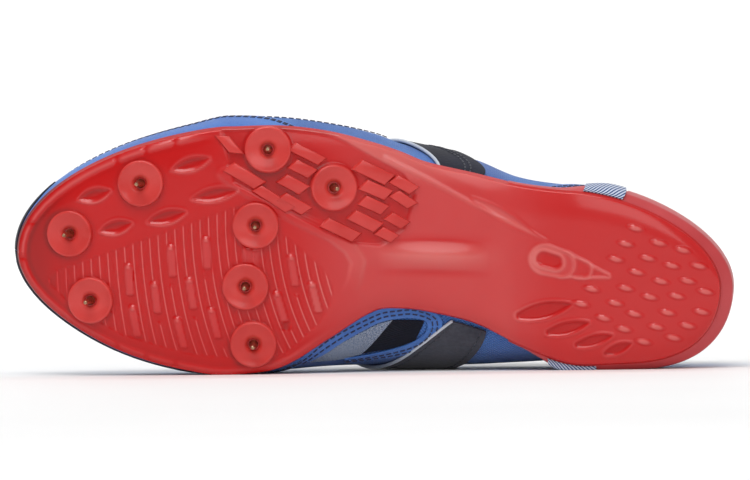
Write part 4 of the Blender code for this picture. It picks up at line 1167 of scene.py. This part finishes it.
# %% Stand a piece on the underside
def on_sole(x, y, turn=0.0):
    """Matrix with z straight out of the underside and x along the shoe, places in millimetres."""
    x, y, small = x * MM, y * MM, 2 * MM
    slope_x = (plate_under(x + small, y) - plate_under(x - small, y)) / (2 * small)
    slope_y = (plate_under(x, y + small) - plate_under(x, y - small)) / (2 * small)
    out = Vector((slope_x, slope_y, -1)).normalized()
    ahead = (Vector((-1, 0, 0)) - out * -out.x).normalized()
    basis = Matrix((ahead, out.cross(ahead), out)).transposed().to_4x4()
    place = Matrix.Translation((x, y, plate_under(x, y)))
    return LAY @ place @ basis @ Matrix.Rotation(math.radians(turn), 4, "Z")


def spin_profile(mesh, profile, matrix, steps):
    """Spins a profile of (radius, height) in millimetres round its axis."""
    older = set(mesh.verts)
    line = [mesh.verts.new((radius * MM, 0, height * MM)) for radius, height in profile]
    edges = [mesh.edges.new(pair) for pair in zip(line, line[1:])]
    bmesh.ops.spin(mesh, geom=line + edges, cent=(0, 0, 0), axis=(0, 0, 1),
                   angle=math.tau, steps=steps, use_merge=True)
    bmesh.ops.transform(mesh, matrix=matrix, verts=[corner for corner in mesh.verts if corner not in older])


SEAT_PROFILE = ((0, -0.7), (2.1, -0.7), (2.4, 0.2), (2.75, 0.9), (3.3, 1.25), (4.2, 1.4), (7.5, 1.35),
                (7.9, 1.58), (8.3, 1.6), (8.65, 1.4), (8.85, 1.0), (8.95, -1.3), (0, -1.3))
seats = bmesh.new()
for seat in SEATS:
    spin_profile(seats, SEAT_PROFILE, on_sole(seat.x, seat.y), 56)
piece_from(seats, "spike_seats", [tread_red], angle=50)

# %% Spikes
PIN_PROFILE = ((0, -0.9), (1.75, -0.9), (1.8, 0.5), (1.6, 0.9), (1.35, 1.6), (1.15, 2.6), (1.0, 4.5),
               (0.85, 7.6), (0.7, 8.35), (0.45, 8.6), (0, 8.62))
for seat in SEATS:
    pin = bmesh.new()
    spin_profile(pin, PIN_PROFILE, on_sole(seat.x, seat.y), 32)
    piece_from(pin, "pin_" + seat.name, [steel], ["spike_" + seat.name], 30)

# %% Lugs of the outer side
Lug = namedtuple("Lug", "x y long wide turn")
LUGS = (Lug(187.7, 30.3, 13.5, 4.4, -31), Lug(193.5, 42.2, 8.5, 3.6, -50), Lug(163.9, 38.6, 12.5, 3.6, -27),
        Lug(165.6, 33, 8.5, 4.2, -27), Lug(169.2, 27.1, 9.5, 4.4, -29), Lug(168.9, 19.7, 11, 4.2, -30),
        Lug(176.6, 21.6, 15, 3.6, -33), Lug(138.6, 31.3, 13.5, 4.8, -26), Lug(137.7, 24.6, 10.5, 4.4, -24),
        Lug(138.6, 18.8, 9.5, 4.2, -25), Lug(141.9, 12.7, 11.5, 4.4, -27), Lug(151.2, 9.5, 13.5, 4.2, -26),
        Lug(127, 26.5, 9, 4, -30), Lug(127.2, 20.8, 8.5, 3.8, -34), Lug(129.7, 12.8, 7.5, 3.8, -30),
        Lug(133.6, 7.4, 7, 3.8, -28))
Level = namedtuple("Level", "height long wide")
LUG_TOP, LUG_FOOT, LUG_SKEW = Level(1.15, 1.0, 1.06), Level(-1.2, 1.12, 1.2), 0.85
lugs = bmesh.new()
for lug in LUGS:
    block = bmesh.new()
    skew = math.tan(math.radians(-lug.turn)) * LUG_SKEW
    for corner in bmesh.ops.create_cube(block, size=1)["verts"]:
        level = LUG_TOP if corner.co.z > 0 else LUG_FOOT
        across = corner.co.y * lug.wide * level.wide
        along = corner.co.x * lug.long * level.long + across * skew
        corner.co = Vector((along, across, level.height)) * MM
    rims = [edge for edge in block.edges if all(corner.co.z > 0 for corner in edge.verts)]
    bmesh.ops.bevel(block, geom=rims, offset=0.35 * MM, segments=3, profile=0.5, affect="EDGES", material=-1)
    bmesh.ops.transform(block, matrix=on_sole(lug.x, lug.y, lug.turn), verts=block.verts)
    one = stored("lug", block)
    lugs.from_mesh(one)
    bpy.data.meshes.remove(one)
piece_from(lugs, "tread_lugs", [tread_red], angle=40)

# %% [markdown]
# ## Heel wedge
#
# Under the heel a soft wedge wraps round the upper, wider than the plate, and thins out towards the arch.
# It is one closed section repeated along the heel, again as a grid. A window on each side bares the cloth.

# %% Heel wedge
def wedge_height(s, side):
    """Height of the wedge's rim above the feather, which sinks towards the arch."""
    sunk = ramp(s, WEDGE_SINK_START, WEDGE_FADE[side][1])
    return float(WEDGE_RIM * (1 - (1 - WEDGE_LOW_SHARE) * sunk))


@lru_cache(maxsize=None)
def wedge_points(s, side):
    """Half of the wedge's section: inner middle, feather, rim, flare, edge of the plate, outer middle."""
    outline, edge, low = wedge_edge(s, side), plate_edge(s, side), feather(s, side)
    end = rim_of(s, side, outline, wedge_height(s, side), 1.6 * MM)
    inside = hug(s, side, end, CLEAR)
    under = ground_line(edge[0]) + PLATE_WALL + CLEAR + arch_lift(edge[0], 1, side)
    top = Vector((*outline, inside.z))
    waist = Vector((*outline, under + wedge_wall(edge[0]) * 0.45)).lerp(Vector((*edge, under)), 0.2)
    return low, end, inside, top, waist, Vector((*edge, under))


def wedge_place(a, b):
    s = 0.045 * (a / 0.3) ** 2 if a < 0.3 else 0.045 + (WEDGE_END - 0.045) * (a - 0.3) / 0.7
    side = OUTER if b >= 0.5 else INNER
    t = abs(b - 0.5) * 2
    low, end, inside, top, waist, edge = wedge_points(s, side)
    if t < 0.2:
        middle = Vector((low.x, axis_y(low.x), foot_bed(low.x, axis_y(low.x)) - CLEAR))
        return middle.lerp(low - Vector((0, 0, CLEAR)), t / 0.2)
    if t < 0.4:
        return hug(s, side, end * (t - 0.2) / 0.2, CLEAR)
    if t < 0.5:
        return inside.lerp(top, (t - 0.4) / 0.1)
    if t < 0.7:
        f = (t - 0.5) / 0.2
        bulge = Vector((0, side * 0.5 * MM * math.sin(math.pi * f), 0))
        return top.lerp(waist, f) + bulge
    if t < 0.8:
        return waist.lerp(edge, (t - 0.7) / 0.1)
    share = 1 - (t - 0.8) / 0.2
    height = ground_line(edge.x) + PLATE_WALL + CLEAR + arch_lift(edge.x, share, side)
    return Vector((edge.x, axis_y(edge.x) + (edge.y - axis_y(edge.x)) * share, height))


wedge_mesh = bmesh.new()
laid_grid(wedge_mesh, 110, 120, wedge_place)
close_ends(wedge_mesh)
wedge = piece_from(wedge_mesh, "heel_wrap", [matte_red], ["heel_wedge"], 50)
Window = namedtuple("Window", "side start end")
WINDOWS = (Window(OUTER, 0.150, 0.212), Window(INNER, 0.190, 0.262))
WINDOW_SILL, WINDOW_TOOL, WINDOW_SLANT, WINDOW_ROUND = 1.4 * MM, 20 * MM, 2.5 * MM, 1.2 * MM
for window in WINDOWS:
    middle = (window.start + window.end) / 2 * LENGTH
    sill = ground_line(middle) + PLATE_WALL + CLEAR + wedge_wall(middle) + WINDOW_SILL
    edge = axis_y(middle) + window.side * (edge_half(middle, window.side) + 3 * MM)
    opening = bmesh.new()
    for corner in bmesh.ops.create_cube(opening, size=1)["verts"]:
        slant = WINDOW_SLANT if corner.co.z > 0 else 0
        corner.co = Vector((middle + corner.co.x * ((window.end - window.start) * LENGTH + slant * 2),
                            edge + corner.co.y * WINDOW_TOOL,
                            sill + WINDOW_TOOL / 2 + corner.co.z * WINDOW_TOOL))
    across = [e for e in opening.edges if abs((e.verts[0].co - e.verts[1].co).y) > WINDOW_TOOL / 4]
    bmesh.ops.bevel(opening, geom=across, offset=WINDOW_ROUND, segments=4, profile=0.5,
                    affect="EDGES", material=-1)
    bmesh.ops.transform(opening, matrix=LAY, verts=opening.verts)
    cut(wedge, opening)
print("windows cut, faces now", len(wedge.data.polygons))

# %% [markdown]
# ## Panels of the upper
#
# Overlays are thin sheets sewn or welded on the upper. Each is drawn by two curves on the last, its low and
# its high edge, as a few pairs of station and level. A grid between them is lifted a little off the skin.
# Where the shoe touches the floor, the sheet is pressed flat against it.

# %% Lay a panel between two curves
FLOOR_GAP = 0.9 * MM


def on_curve(curve, t):
    """(station, level) of a curve, which is a function or a list of a few such pairs."""
    return curve(t) if callable(curve) else through(curve, t)


def panel_place(side, low, high, lift):
    def place(a, b):
        s, level = (first + (last - first) * b for first, last in zip(on_curve(low, a), on_curve(high, a)))
        point = skin(s, side, level, lift)
        room = (LAY @ point).z - FLOOR_GAP
        return point if room > 0 else point + LAY_TURN.inverted() @ Vector((0, 0, -room))
    return place


def panel(name, side, low, high, rows, columns, lift, wall, cloth, replaced=()):
    """A sheet between two curves on one side, or on both where side is 0; lift and wall in millimetres."""
    places = [panel_place(one, low, high, lift * MM) for one in ([side] if side else SIDES)]
    made = sheet(name, places, rows, columns, lambda a, b: (on_curve(low, a)[0] * LENGTH, b * 0.03),
                 [cloth], replaced)
    thicken(made, wall * MM, 1, soft=0.25 * MM)


# %% Tongue and the band round the throat
def tongue_place(side):
    def place(a, b):
        s = 0.35 + (EYESTAY_END - 0.35) * a
        end = min(rim_level(s, side), 1.91)
        start = level_back(s, side, end, 8 * MM)
        crown = 0.5 * MM * math.sin(math.pi * min(1.0, a * 1.2)) * b
        return skin(s, side, start + (2 - start) * b, -(UPPER_WALL + 1.05 * MM) + crown)
    return place


def stay_place(side):
    def place(a, b):
        s = STAY_START + (EYESTAY_END - STAY_START) * a
        end = rim_level(s, side)
        tip = math.sqrt(max(0.02, 1 - (max(0.0, s - THROAT_END) / (EYESTAY_END - THROAT_END)) ** 2))
        blunt = math.sqrt(min(1.0, (s - STAY_START + 0.008) / 0.03))
        start = level_back(s, side, end, stay_width(s) * tip * blunt)
        return skin(s, side, start + (end - start) * b, 0.4 * MM)
    return place


tongue = sheet("tongue_pad", [tongue_place(side) for side in SIDES], 70, 20,
               lambda a, b: (a * 0.11, b * 0.03), [navy_suede], ["tongue"])
thicken(tongue, 2.8 * MM, -1, soft=0.8 * MM)
stay = sheet("lace_band", [stay_place(side) for side in SIDES], 90, 10,
             lambda a, b: (a * 0.1, b * 0.015), [navy_suede], ["eyestay"])
thicken(stay, 1.1 * MM, 1, even=False)

# %% Dark saddles
Saddle = namedtuple("Saddle", "side name back_low front_low back_wide front_wide back_top front_top")
SADDLES = (Saddle(OUTER, "saddle_outer", 0.355, 0.410, 0.362, 0.445, 0.450, 0.540),
           Saddle(INNER, "saddle_inner", 0.345, 0.392, 0.375, 0.487, 0.450, 0.560))


def bent(start, middle, end, t):
    """A curve of second degree through three values."""
    guide = 2 * middle - (start + end) / 2
    return (1 - t) ** 2 * start + 2 * t * (1 - t) * guide + t * t * end


def saddle_curve(saddle, way):
    """The back or the front edge of a dark saddle, from the plate to the band round the throat."""
    row = [getattr(saddle, way + end) for end in ("_low", "_wide", "_top")]
    side = saddle.side

    def curve(t):
        s = bent(*row, t)
        foot = plate_level(s, side) + 0.06
        return s, foot + (level_back(s, side, rim_level(s, side), stay_width(s) + MM) - foot) * t
    return curve


for saddle in SADDLES:
    panel(saddle.name + "_cloth", saddle.side, saddle_curve(saddle, "back"), saddle_curve(saddle, "front"),
          60, 24, 0.6, 1.1, slate_suede if saddle.side == INNER else navy_suede, [saddle.name])

# %% [markdown]
# ## Overlays, windows and seams
#
# The picture shows the inner arch closely: a film overlay bends round a long window, the window holds an
# open knit with a dark sheet beside it that paints the shade there, and two navy seams run round the bend.
# Such places are easiest to give as plan places in millimetres, read against the sole, and to look up where
# they lie on the skin.

# %% Plan places on the lower skin
def on_upper(*places):
    """(station, level) of plan places, for the part of the upper between sole and widest line."""
    found = []
    for x, y in places:
        s = x * MM / LENGTH
        side = OUTER if y * MM >= axis_y(x * MM) else INNER
        low, wide = feather(s, side), widest(s, side)
        share = (y * MM - low.y) / (wide.y - low.y)
        found.append((s, math.asin(min(0.9999, max(0.0, share))) / (math.pi / 2)))
    return found


def between(first, second, share):
    return [tuple(a + (b - a) * share for a, b in zip(one, two)) for one, two in zip(first, second)]


WINDOW_EDGE = on_upper((164, -41.5), (158, -38.6), (150.9, -34), (141, -28.6), (131.4, -25.4), (124, -24.8),
                       (118.2, -26.6), (119, -31), (123.6, -34.6), (131, -37.4), (139, -39.4), (150, -41))
BEND_EDGE = on_upper((170, -42), (160, -33), (152, -28), (142, -23.5), (132, -20.5), (122, -20.4),
                     (112.8, -24.6), (113.4, -32.6), (119.5, -38.2), (129, -40.6), (139, -42), (150, -42.6))
panel("arch_overlay", INNER, WINDOW_EDGE, BEND_EDGE, 120, 10, 0.5, 0.7, blue_film)
panel("arch_knit", INNER, on_upper((163, -41.2), (150.9, -34.4), (131.4, -25.8)),
      on_upper((163, -42), (153, -41.6), (143.4, -39.4)), 50, 20, 0.25, 0.5, heather)
panel("arch_gap", INNER, on_upper((131.8, -25.8), (119, -26.2)),
      # A dark sheet beside the knit: painted shade.
      on_upper((144, -39.6), (133, -37.8), (122.6, -34.4)), 24, 20, 0.2, 0.5, black_mesh)


# %% Ways to sew and to pipe
STITCH_LONG, STITCH_WIDE, STITCH_HIGH, STITCH_GAP = 1.9 * MM, 0.5 * MM, 0.35 * MM, 0.9 * MM


def walk(side, curve, lift, count=160, soften=0):
    """Points and outward directions along a curve of stations and levels, pressed flat on the floor."""
    steps = []
    for index in range(count + 1):
        s, level = on_curve(curve, index / count)
        level = min(2.0, max(0.0, level))
        point = LAY @ skin(s, side, level, lift)
        point.z = max(point.z, lift * 0.3)
        steps.append((point, LAY_TURN @ outward(s, side, level)))
    for _ in range(soften):
        steps = steps[:1] + [tuple((a + b * 2 + c) / 4 for a, b, c in zip(*three))
                             for three in zip(steps, steps[1:], steps[2:])] + steps[-1:]
    return steps


def sew(mesh, side, curve, lift=1.1 * MM):
    """A row of stitches, each a small block, spaced evenly along a curve."""
    steps = walk(side, curve, lift)
    travelled, due = 0.0, STITCH_GAP
    for (start, up), (end, _) in zip(steps, steps[1:]):
        length = (end - start).length
        while length and travelled + length > due:
            ahead = (end - start).normalized()
            aside = up.cross(ahead).normalized()
            basis = Matrix((ahead * STITCH_LONG, aside * STITCH_WIDE, ahead.cross(aside) * STITCH_HIGH))
            place = Matrix.Translation(start.lerp(end, (due - travelled) / length))
            bmesh.ops.create_cube(mesh, size=1, matrix=place @ basis.transposed().to_4x4())
            due += STITCH_LONG + STITCH_GAP
        travelled += length


def pipe(mesh, side, curve, lift, radius, rows=90, soften=2):
    """A round cord laid along a curve."""
    steps = walk(side, curve, lift, rows, soften)

    def place(a, b):
        index = min(rows, round(a * rows))
        point, up = steps[index]
        ahead = (steps[min(rows, index + 1)][0] - steps[max(0, index - 1)][0]).normalized()
        aside = up.cross(ahead).normalized()
        around = math.tau * b
        return STAND @ (point + (aside * math.cos(around) + up * math.sin(around)) * radius)

    laid_grid(mesh, rows, 8, place, lambda a, b: (a * 0.08, b * 0.004))


def stay_line(side, span, depth):
    """A line along the band round the throat; depth gives how far below the band's edge it runs."""
    def curve(t):
        s = STAY_START + span * t
        return s, level_back(s, side, rim_level(s, side), depth(s))
    return curve


def saddle_line(saddle, share):
    """A line up a saddle, at a share of the way from its back to its front edge."""
    edges = saddle_curve(saddle, "back"), saddle_curve(saddle, "front")

    def curve(t):
        return between(*([edge(0.02 + 0.96 * t)] for edge in edges), share)[0]
    return curve


print("a stitch every", round((STITCH_LONG + STITCH_GAP) / MM, 1), "mm")

# %% Toe guard, toe edges and heel counter
GUARD_TOP = [(1.0, 1.42), (0.985, 1.38), (0.955, 1.32), (0.9, 1.24), (0.83, 1.18), (0.75, 1.1), (0.66, 0.88),
             (0.60, 0.5)]
GUARD_LOW = [(1.0, 0.3), (0.985, 0.3), (0.955, 0.3), (0.9, 0.3), (0.83, 0.3), (0.75, 0.3), (0.66, 0.33),
             (0.59, 0.38)]
EDGE_LOW = {OUTER: [(1.0, 0.72), (0.97, 0.8), (0.945, 0.95)],
            INNER: [(1.0, 0.72), (0.9, 0.72), (0.8, 0.78), (0.66, 0.84)]}
EDGE_HIGH = {OUTER: [(1.0, 1.12), (0.97, 1.08), (0.945, 0.98)],
             INNER: [(1.0, 1.12), (0.9, 1.1), (0.8, 1.04), (0.66, 0.9)]}
COUNTER_TOP = [(0.0, 1.42), (0.03, 1.42), (0.08, 1.36), (0.14, 1.25), (0.2, 1.05), (0.255, 0.75)]
COUNTER_LOW = [(0.0, 0.45), (0.03, 0.45), (0.08, 0.45), (0.14, 0.45), (0.2, 0.42), (0.27, 0.4)]
panel("toe_guard", 0, GUARD_LOW, GUARD_TOP, 120, 12, 0.3, 0.7, blue_film)
# Navy strips along the toe's lower edges: partly a navy edge of the upper, partly painted shade on the toe's
# lower side.
for side, word in SIDES.items():
    panel(f"toe_edge_{word}", side, EDGE_LOW[side], EDGE_HIGH[side], 80, 8, 0.9, 0.5,
          navy_suede)
panel("heel_counter", 0, COUNTER_LOW, COUNTER_TOP, 80, 14, 0.3, 0.9, blue_film)

# %% Sew the seams and lay the piping
SIDE_SEAMS = ([(0.80, 0.62), (0.76, 0.8), (0.72, 0.93), (0.68, 1.1)],
              [(0.785, 0.55), (0.745, 0.75), (0.70, 0.9)],
              [(0.66, 0.99), (0.6, 0.97), (0.54, 0.99), (0.48, 1.03)])
SADDLE_SHARES = {OUTER: (0.3, 0.42), INNER: (0.12, 0.88)}
navy_seams = bmesh.new()
for share in (0.34, 0.66):
    sew(navy_seams, INNER, between(WINDOW_EDGE, BEND_EDGE, share), 1.35 * MM)
for side in SIDES:
    for down in (0.10, 0.16):
        sew(navy_seams, side, [(s, level - down * (1.0 if level > 0.9 else 0.7)) for s, level in GUARD_TOP])
        sew(navy_seams, side, [(s, level - down) for s, level in COUNTER_TOP], 1.3 * MM)
    sew(navy_seams, side, stay_line(side, 0.31, lambda s: stay_width(s) * 0.84), 1.65 * MM)
    sew(navy_seams, side, stay_line(side, 0.28, lambda s: 2.0 * MM), 1.65 * MM)
for seam in SIDE_SEAMS:
    sew(navy_seams, OUTER, seam, 0.3 * MM)
piece_from(navy_seams, "navy_seams", [navy_thread], angle=80, merge=0)

pipes, saddle_seams = bmesh.new(), bmesh.new()
for saddle in SADDLES:
    pipe(pipes, saddle.side, saddle_curve(saddle, "front"), 1.1 * MM, 0.7 * MM)
    for share in SADDLE_SHARES[saddle.side]:
        sew(saddle_seams, saddle.side, saddle_line(saddle, share), 1.85 * MM)
close_ends(pipes)
piece_from(pipes, "pale_piping", [pale_piping], angle=70, merge=0)
piece_from(saddle_seams, "saddle_seams", [slate_suede], angle=80, merge=0)

# %% Collar binding and heel cloth
COLLAR_END = 0.40


def collar_line(side):
    def curve(t):
        s = ends_dense(t * 0.98) * COLLAR_END
        return s, rim_level(s, side)
    return curve


binding = bmesh.new()
for side in SIDES:
    pipe(binding, side, collar_line(side), -UPPER_WALL / 2, 1.9 * MM, 110, 14)
close_ends(binding)
piece_from(binding, "collar_binding", [navy_suede], angle=70, merge=0)


def patch_place(window):
    """The wedge's own outer face inside a window, a little proud of it towards the rim."""
    def place(a, b):
        s = window.start + 0.001 + (window.end - window.start - 0.002) * (a * (1 - 0.12 * b) + 0.03 * b)
        _, end, _, top, waist, edge = wedge_points(s, window.side)
        over = skin(s, window.side, end + 0.25, 1.1 * MM)
        path = [tuple(edge), tuple(waist), tuple(top), tuple(over)]
        out = Vector((0, window.side * 0.4 * MM * math.sin(math.pi * min(1.0, 0.25 + b * 0.6)), 0))
        return Vector(through(path, 0.02 + 0.98 * b)) + out
    return place


for window in WINDOWS:
    strap = sheet("heel_strap_" + SIDES[window.side], [patch_place(window)], 30, 24,
                  lambda a, b: (a * 0.018, b * 0.018), [twill])
    thicken(strap, 1.0 * MM, 0, soft=0.2 * MM)

# %% [markdown]
# ## Laces
#
# The lace is a flat woven band. It rises out of one eyelet, crosses over the tongue and dives into the
# eyelet of the next row on the other side. Each crossing is a narrow grid that follows such a path, pinched
# where it passes through a hole, and a Solidify modifier gives it body.

# %% Eyelets
EYELET_STATIONS = (0.425, 0.475, 0.525, 0.575, 0.62, 0.66)


RING_PROFILE = ((2.1, 0.6), (2.1, 1.7), (2.5, 2.05), (3.1, 1.9), (3.4, 1.5), (3.3, 1.2))
HOLE_RADIUS, HOLE_DEPTH = 2.2 * MM, 12 * MM


def eyelet(s, side):
    """Level of an eyelet on the band round the throat."""
    return level_back(s, side, rim_level(s, side), 7.5 * MM)


holes, rings = bmesh.new(), bmesh.new()
for s in EYELET_STATIONS:
    for side in SIDES:
        level = eyelet(s, side)
        aim = Vector((0, 0, 1)).rotation_difference(outward(s, side, level)).to_matrix().to_4x4()
        place = LAY @ Matrix.Translation(skin(s, side, level)) @ aim
        bmesh.ops.create_cone(holes, cap_ends=True, segments=24, radius1=HOLE_RADIUS, radius2=HOLE_RADIUS,
                              depth=HOLE_DEPTH, matrix=place)
        spin_profile(rings, RING_PROFILE, place, 28)
for piece, tool in ((stay, holes.copy()), (upper, holes)):
    settle(piece)
    cut(piece, tool)
piece_from(rings, "eyelet_rings", [pale_piping], angle=60)


# %% Lace crossings
def lace_band(mesh, start, end, lift):
    """start and end are (station, side); the band crosses over the tongue between their eyelets."""
    (s0, side0), (s1, side1) = start, end
    crown = sum((outward((s0 + s1) / 2, way, 1.88) for way in SIDES), Vector()).normalized()

    def path(t):
        s = s0 + (s1 - s0) * t
        end, side, near = (s0, side0, t) if t < 0.5 else (s1, side1, 1 - t)
        hole = eyelet(end, side)
        level = hole + (2 - hole) * float(ramp(near, -0.1, 0.5) - ramp(0, -0.1, 0.5) * (1 - near * 2))
        dive = float(ramp(-near, -0.09, 0.0))
        over = (2.6 + lift * math.sin(math.pi * t) ** 2) * (1 - dive) - 2.5 * dive
        out = outward(s, side, min(level, 1.85)).lerp(crown, float(ramp(near, 0.1, 0.42))).normalized()
        return on_skin(s, side, level) + out * over * MM

    aside = (path(0.9) - path(0.1)).cross(crown).normalized()

    def place(a, b):
        width = 5.4 * MM * (0.5 + 0.5 * float(ramp(min(a, 1 - a), 0.02, 0.2)))
        return path(a) + aside * width * (b - 0.5)

    laid_grid(mesh, 36, 4, place, lambda a, b: (a * 0.05, b * 0.0054))


lace_mesh = bmesh.new()
rows = EYELET_STATIONS[::-1]
lace_band(lace_mesh, (rows[0], OUTER), (rows[0], INNER), 0.4)
for step, (low, high) in enumerate(zip(rows, rows[1:])):
    first = OUTER if step % 2 else INNER
    lace_band(lace_mesh, (low, first), (high, -first), 0.3)
    lace_band(lace_mesh, (low, -first), (high, first), 1.8)
bmesh.ops.recalc_face_normals(lace_mesh, faces=lace_mesh.faces)
lace = piece_from(lace_mesh, "flat_lace", [lace_weave], ["laces"], 60, 0, False)
thicken(lace, 1.1 * MM, 0, even=False)

# %% Insole cloth
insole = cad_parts["insole"]
insole.data.materials.clear()
insole.data.materials.append(lining)
print("insole faces:", len(insole.data.polygons))

# %% Press the lowest edges flat on the floor
def depth_below_floor(piece):
    bpy.context.view_layer.update()
    graph = bpy.context.evaluated_depsgraph_get()
    return -min(corner[2] for corner in piece.evaluated_get(graph).bound_box)


for piece in made_pieces:
    depth = depth_below_floor(piece)
    if depth > 0.01 * MM:
        settle(piece)
        for corner in piece.data.vertices:
            corner.co.z = max(0.0, corner.co.z)
        print(piece.name, "pressed flat by", round(depth / MM, 2), "mm")

# %% [markdown]
# ## Camera, light and floor
#
# The camera looks at the sole almost level, from three metres away through a long lens, so that the shoe
# keeps nearly the same scale from toe to heel. The floor is a pale sheet that curves up behind the shoe, as
# in a photographer's studio. Two large soft lights in front give the broad highlights, and a third lights
# the backdrop.

# %% Camera
AIM = LAY @ (Vector((137.5, 5.7, 2.0)) * MM)
CAMERA_RISE, CAMERA_ROLL, CAMERA_FAR = 0.75, 0.745, 3.0
LENS, SENSOR = 377.5, 36
rise = math.radians(CAMERA_RISE)
camera_data = bpy.data.cameras.new("camera")
camera_data.lens = LENS
camera_data.sensor_width = SENSOR
camera_data.clip_start = 0.05
camera = placed("camera", camera_data)
camera.location = AIM + Vector((0, -math.cos(rise), math.sin(rise))) * CAMERA_FAR
camera.rotation_euler = (math.radians(90 - CAMERA_RISE), math.radians(CAMERA_ROLL), 0)
bpy.context.scene.camera = camera
print("camera at", [round(v, 3) for v in camera.location])

# %% Floor, backdrop and lights
def floor_white(flow):
    cloud = flow.noise(flow.object_place(), 3, 2)
    return {"Base Color": flow.colours(cloud, ((0.3, (0.9, 0.9, 0.9)), (0.7, (0.93, 0.93, 0.93)))),
            "Roughness": 0.6 + cloud * 0.1}


FLOOR_HALF, BEND_START, BEND_LONG, BEND_RADIUS = 9, 4.0, 2, 1.27
sweep_mesh = bmesh.new()
bmesh.ops.create_grid(sweep_mesh, x_segments=2, y_segments=90, size=FLOOR_HALF)
for corner in sweep_mesh.verts:
    run = corner.co.y
    turn = float(np.clip((run - BEND_START) / BEND_LONG, 0, 1)) * math.pi / 2
    corner.co.y = min(run, BEND_START) + BEND_RADIUS * math.sin(turn)
    corner.co.z = BEND_RADIUS * (1 - math.cos(turn)) + max(0.0, run - BEND_START - BEND_LONG)
sweep_data = stored("studio_sweep", sweep_mesh)
sweep_data.shade_smooth()
sweep_data.materials.append(surface("studio_white", {"Specular IOR Level": 0.2}, floor_white))
sweep = placed("studio_sweep", sweep_data)


def soft_light(name, place, aim, size, power):
    data = bpy.data.lights.new(name, "AREA")
    data.shape = "RECTANGLE"
    data.size, data.size_y = size
    data.energy = power
    made = placed(name, data)
    made.location = place
    made.rotation_euler = (Vector(aim) - Vector(place)).to_track_quat("-Z", "Y").to_euler()


bpy.context.scene.view_settings.view_transform = "Standard"
soft_light("key", (-0.3, -1.1, 1.9), (0, 0, 0.05), (1.6, 1.0), 30)
soft_light("front", (0.4, -2.2, 0.8), (0, 0, 0.05), (1.4, 0.8), 8)
soft_light("back_glow", (0, 1.2, 3.0), (0, 4.5, 1.0), (5.0, 2.0), 160)
world = bpy.data.worlds.new("studio")
bpy.context.scene.world = world
world.use_nodes = True
sky = world.node_tree.nodes["Background"]
sky.inputs["Color"].default_value = (1, 1, 1, 1)
sky.inputs["Strength"].default_value = 0.35
print("lights:", len(bpy.data.lights))
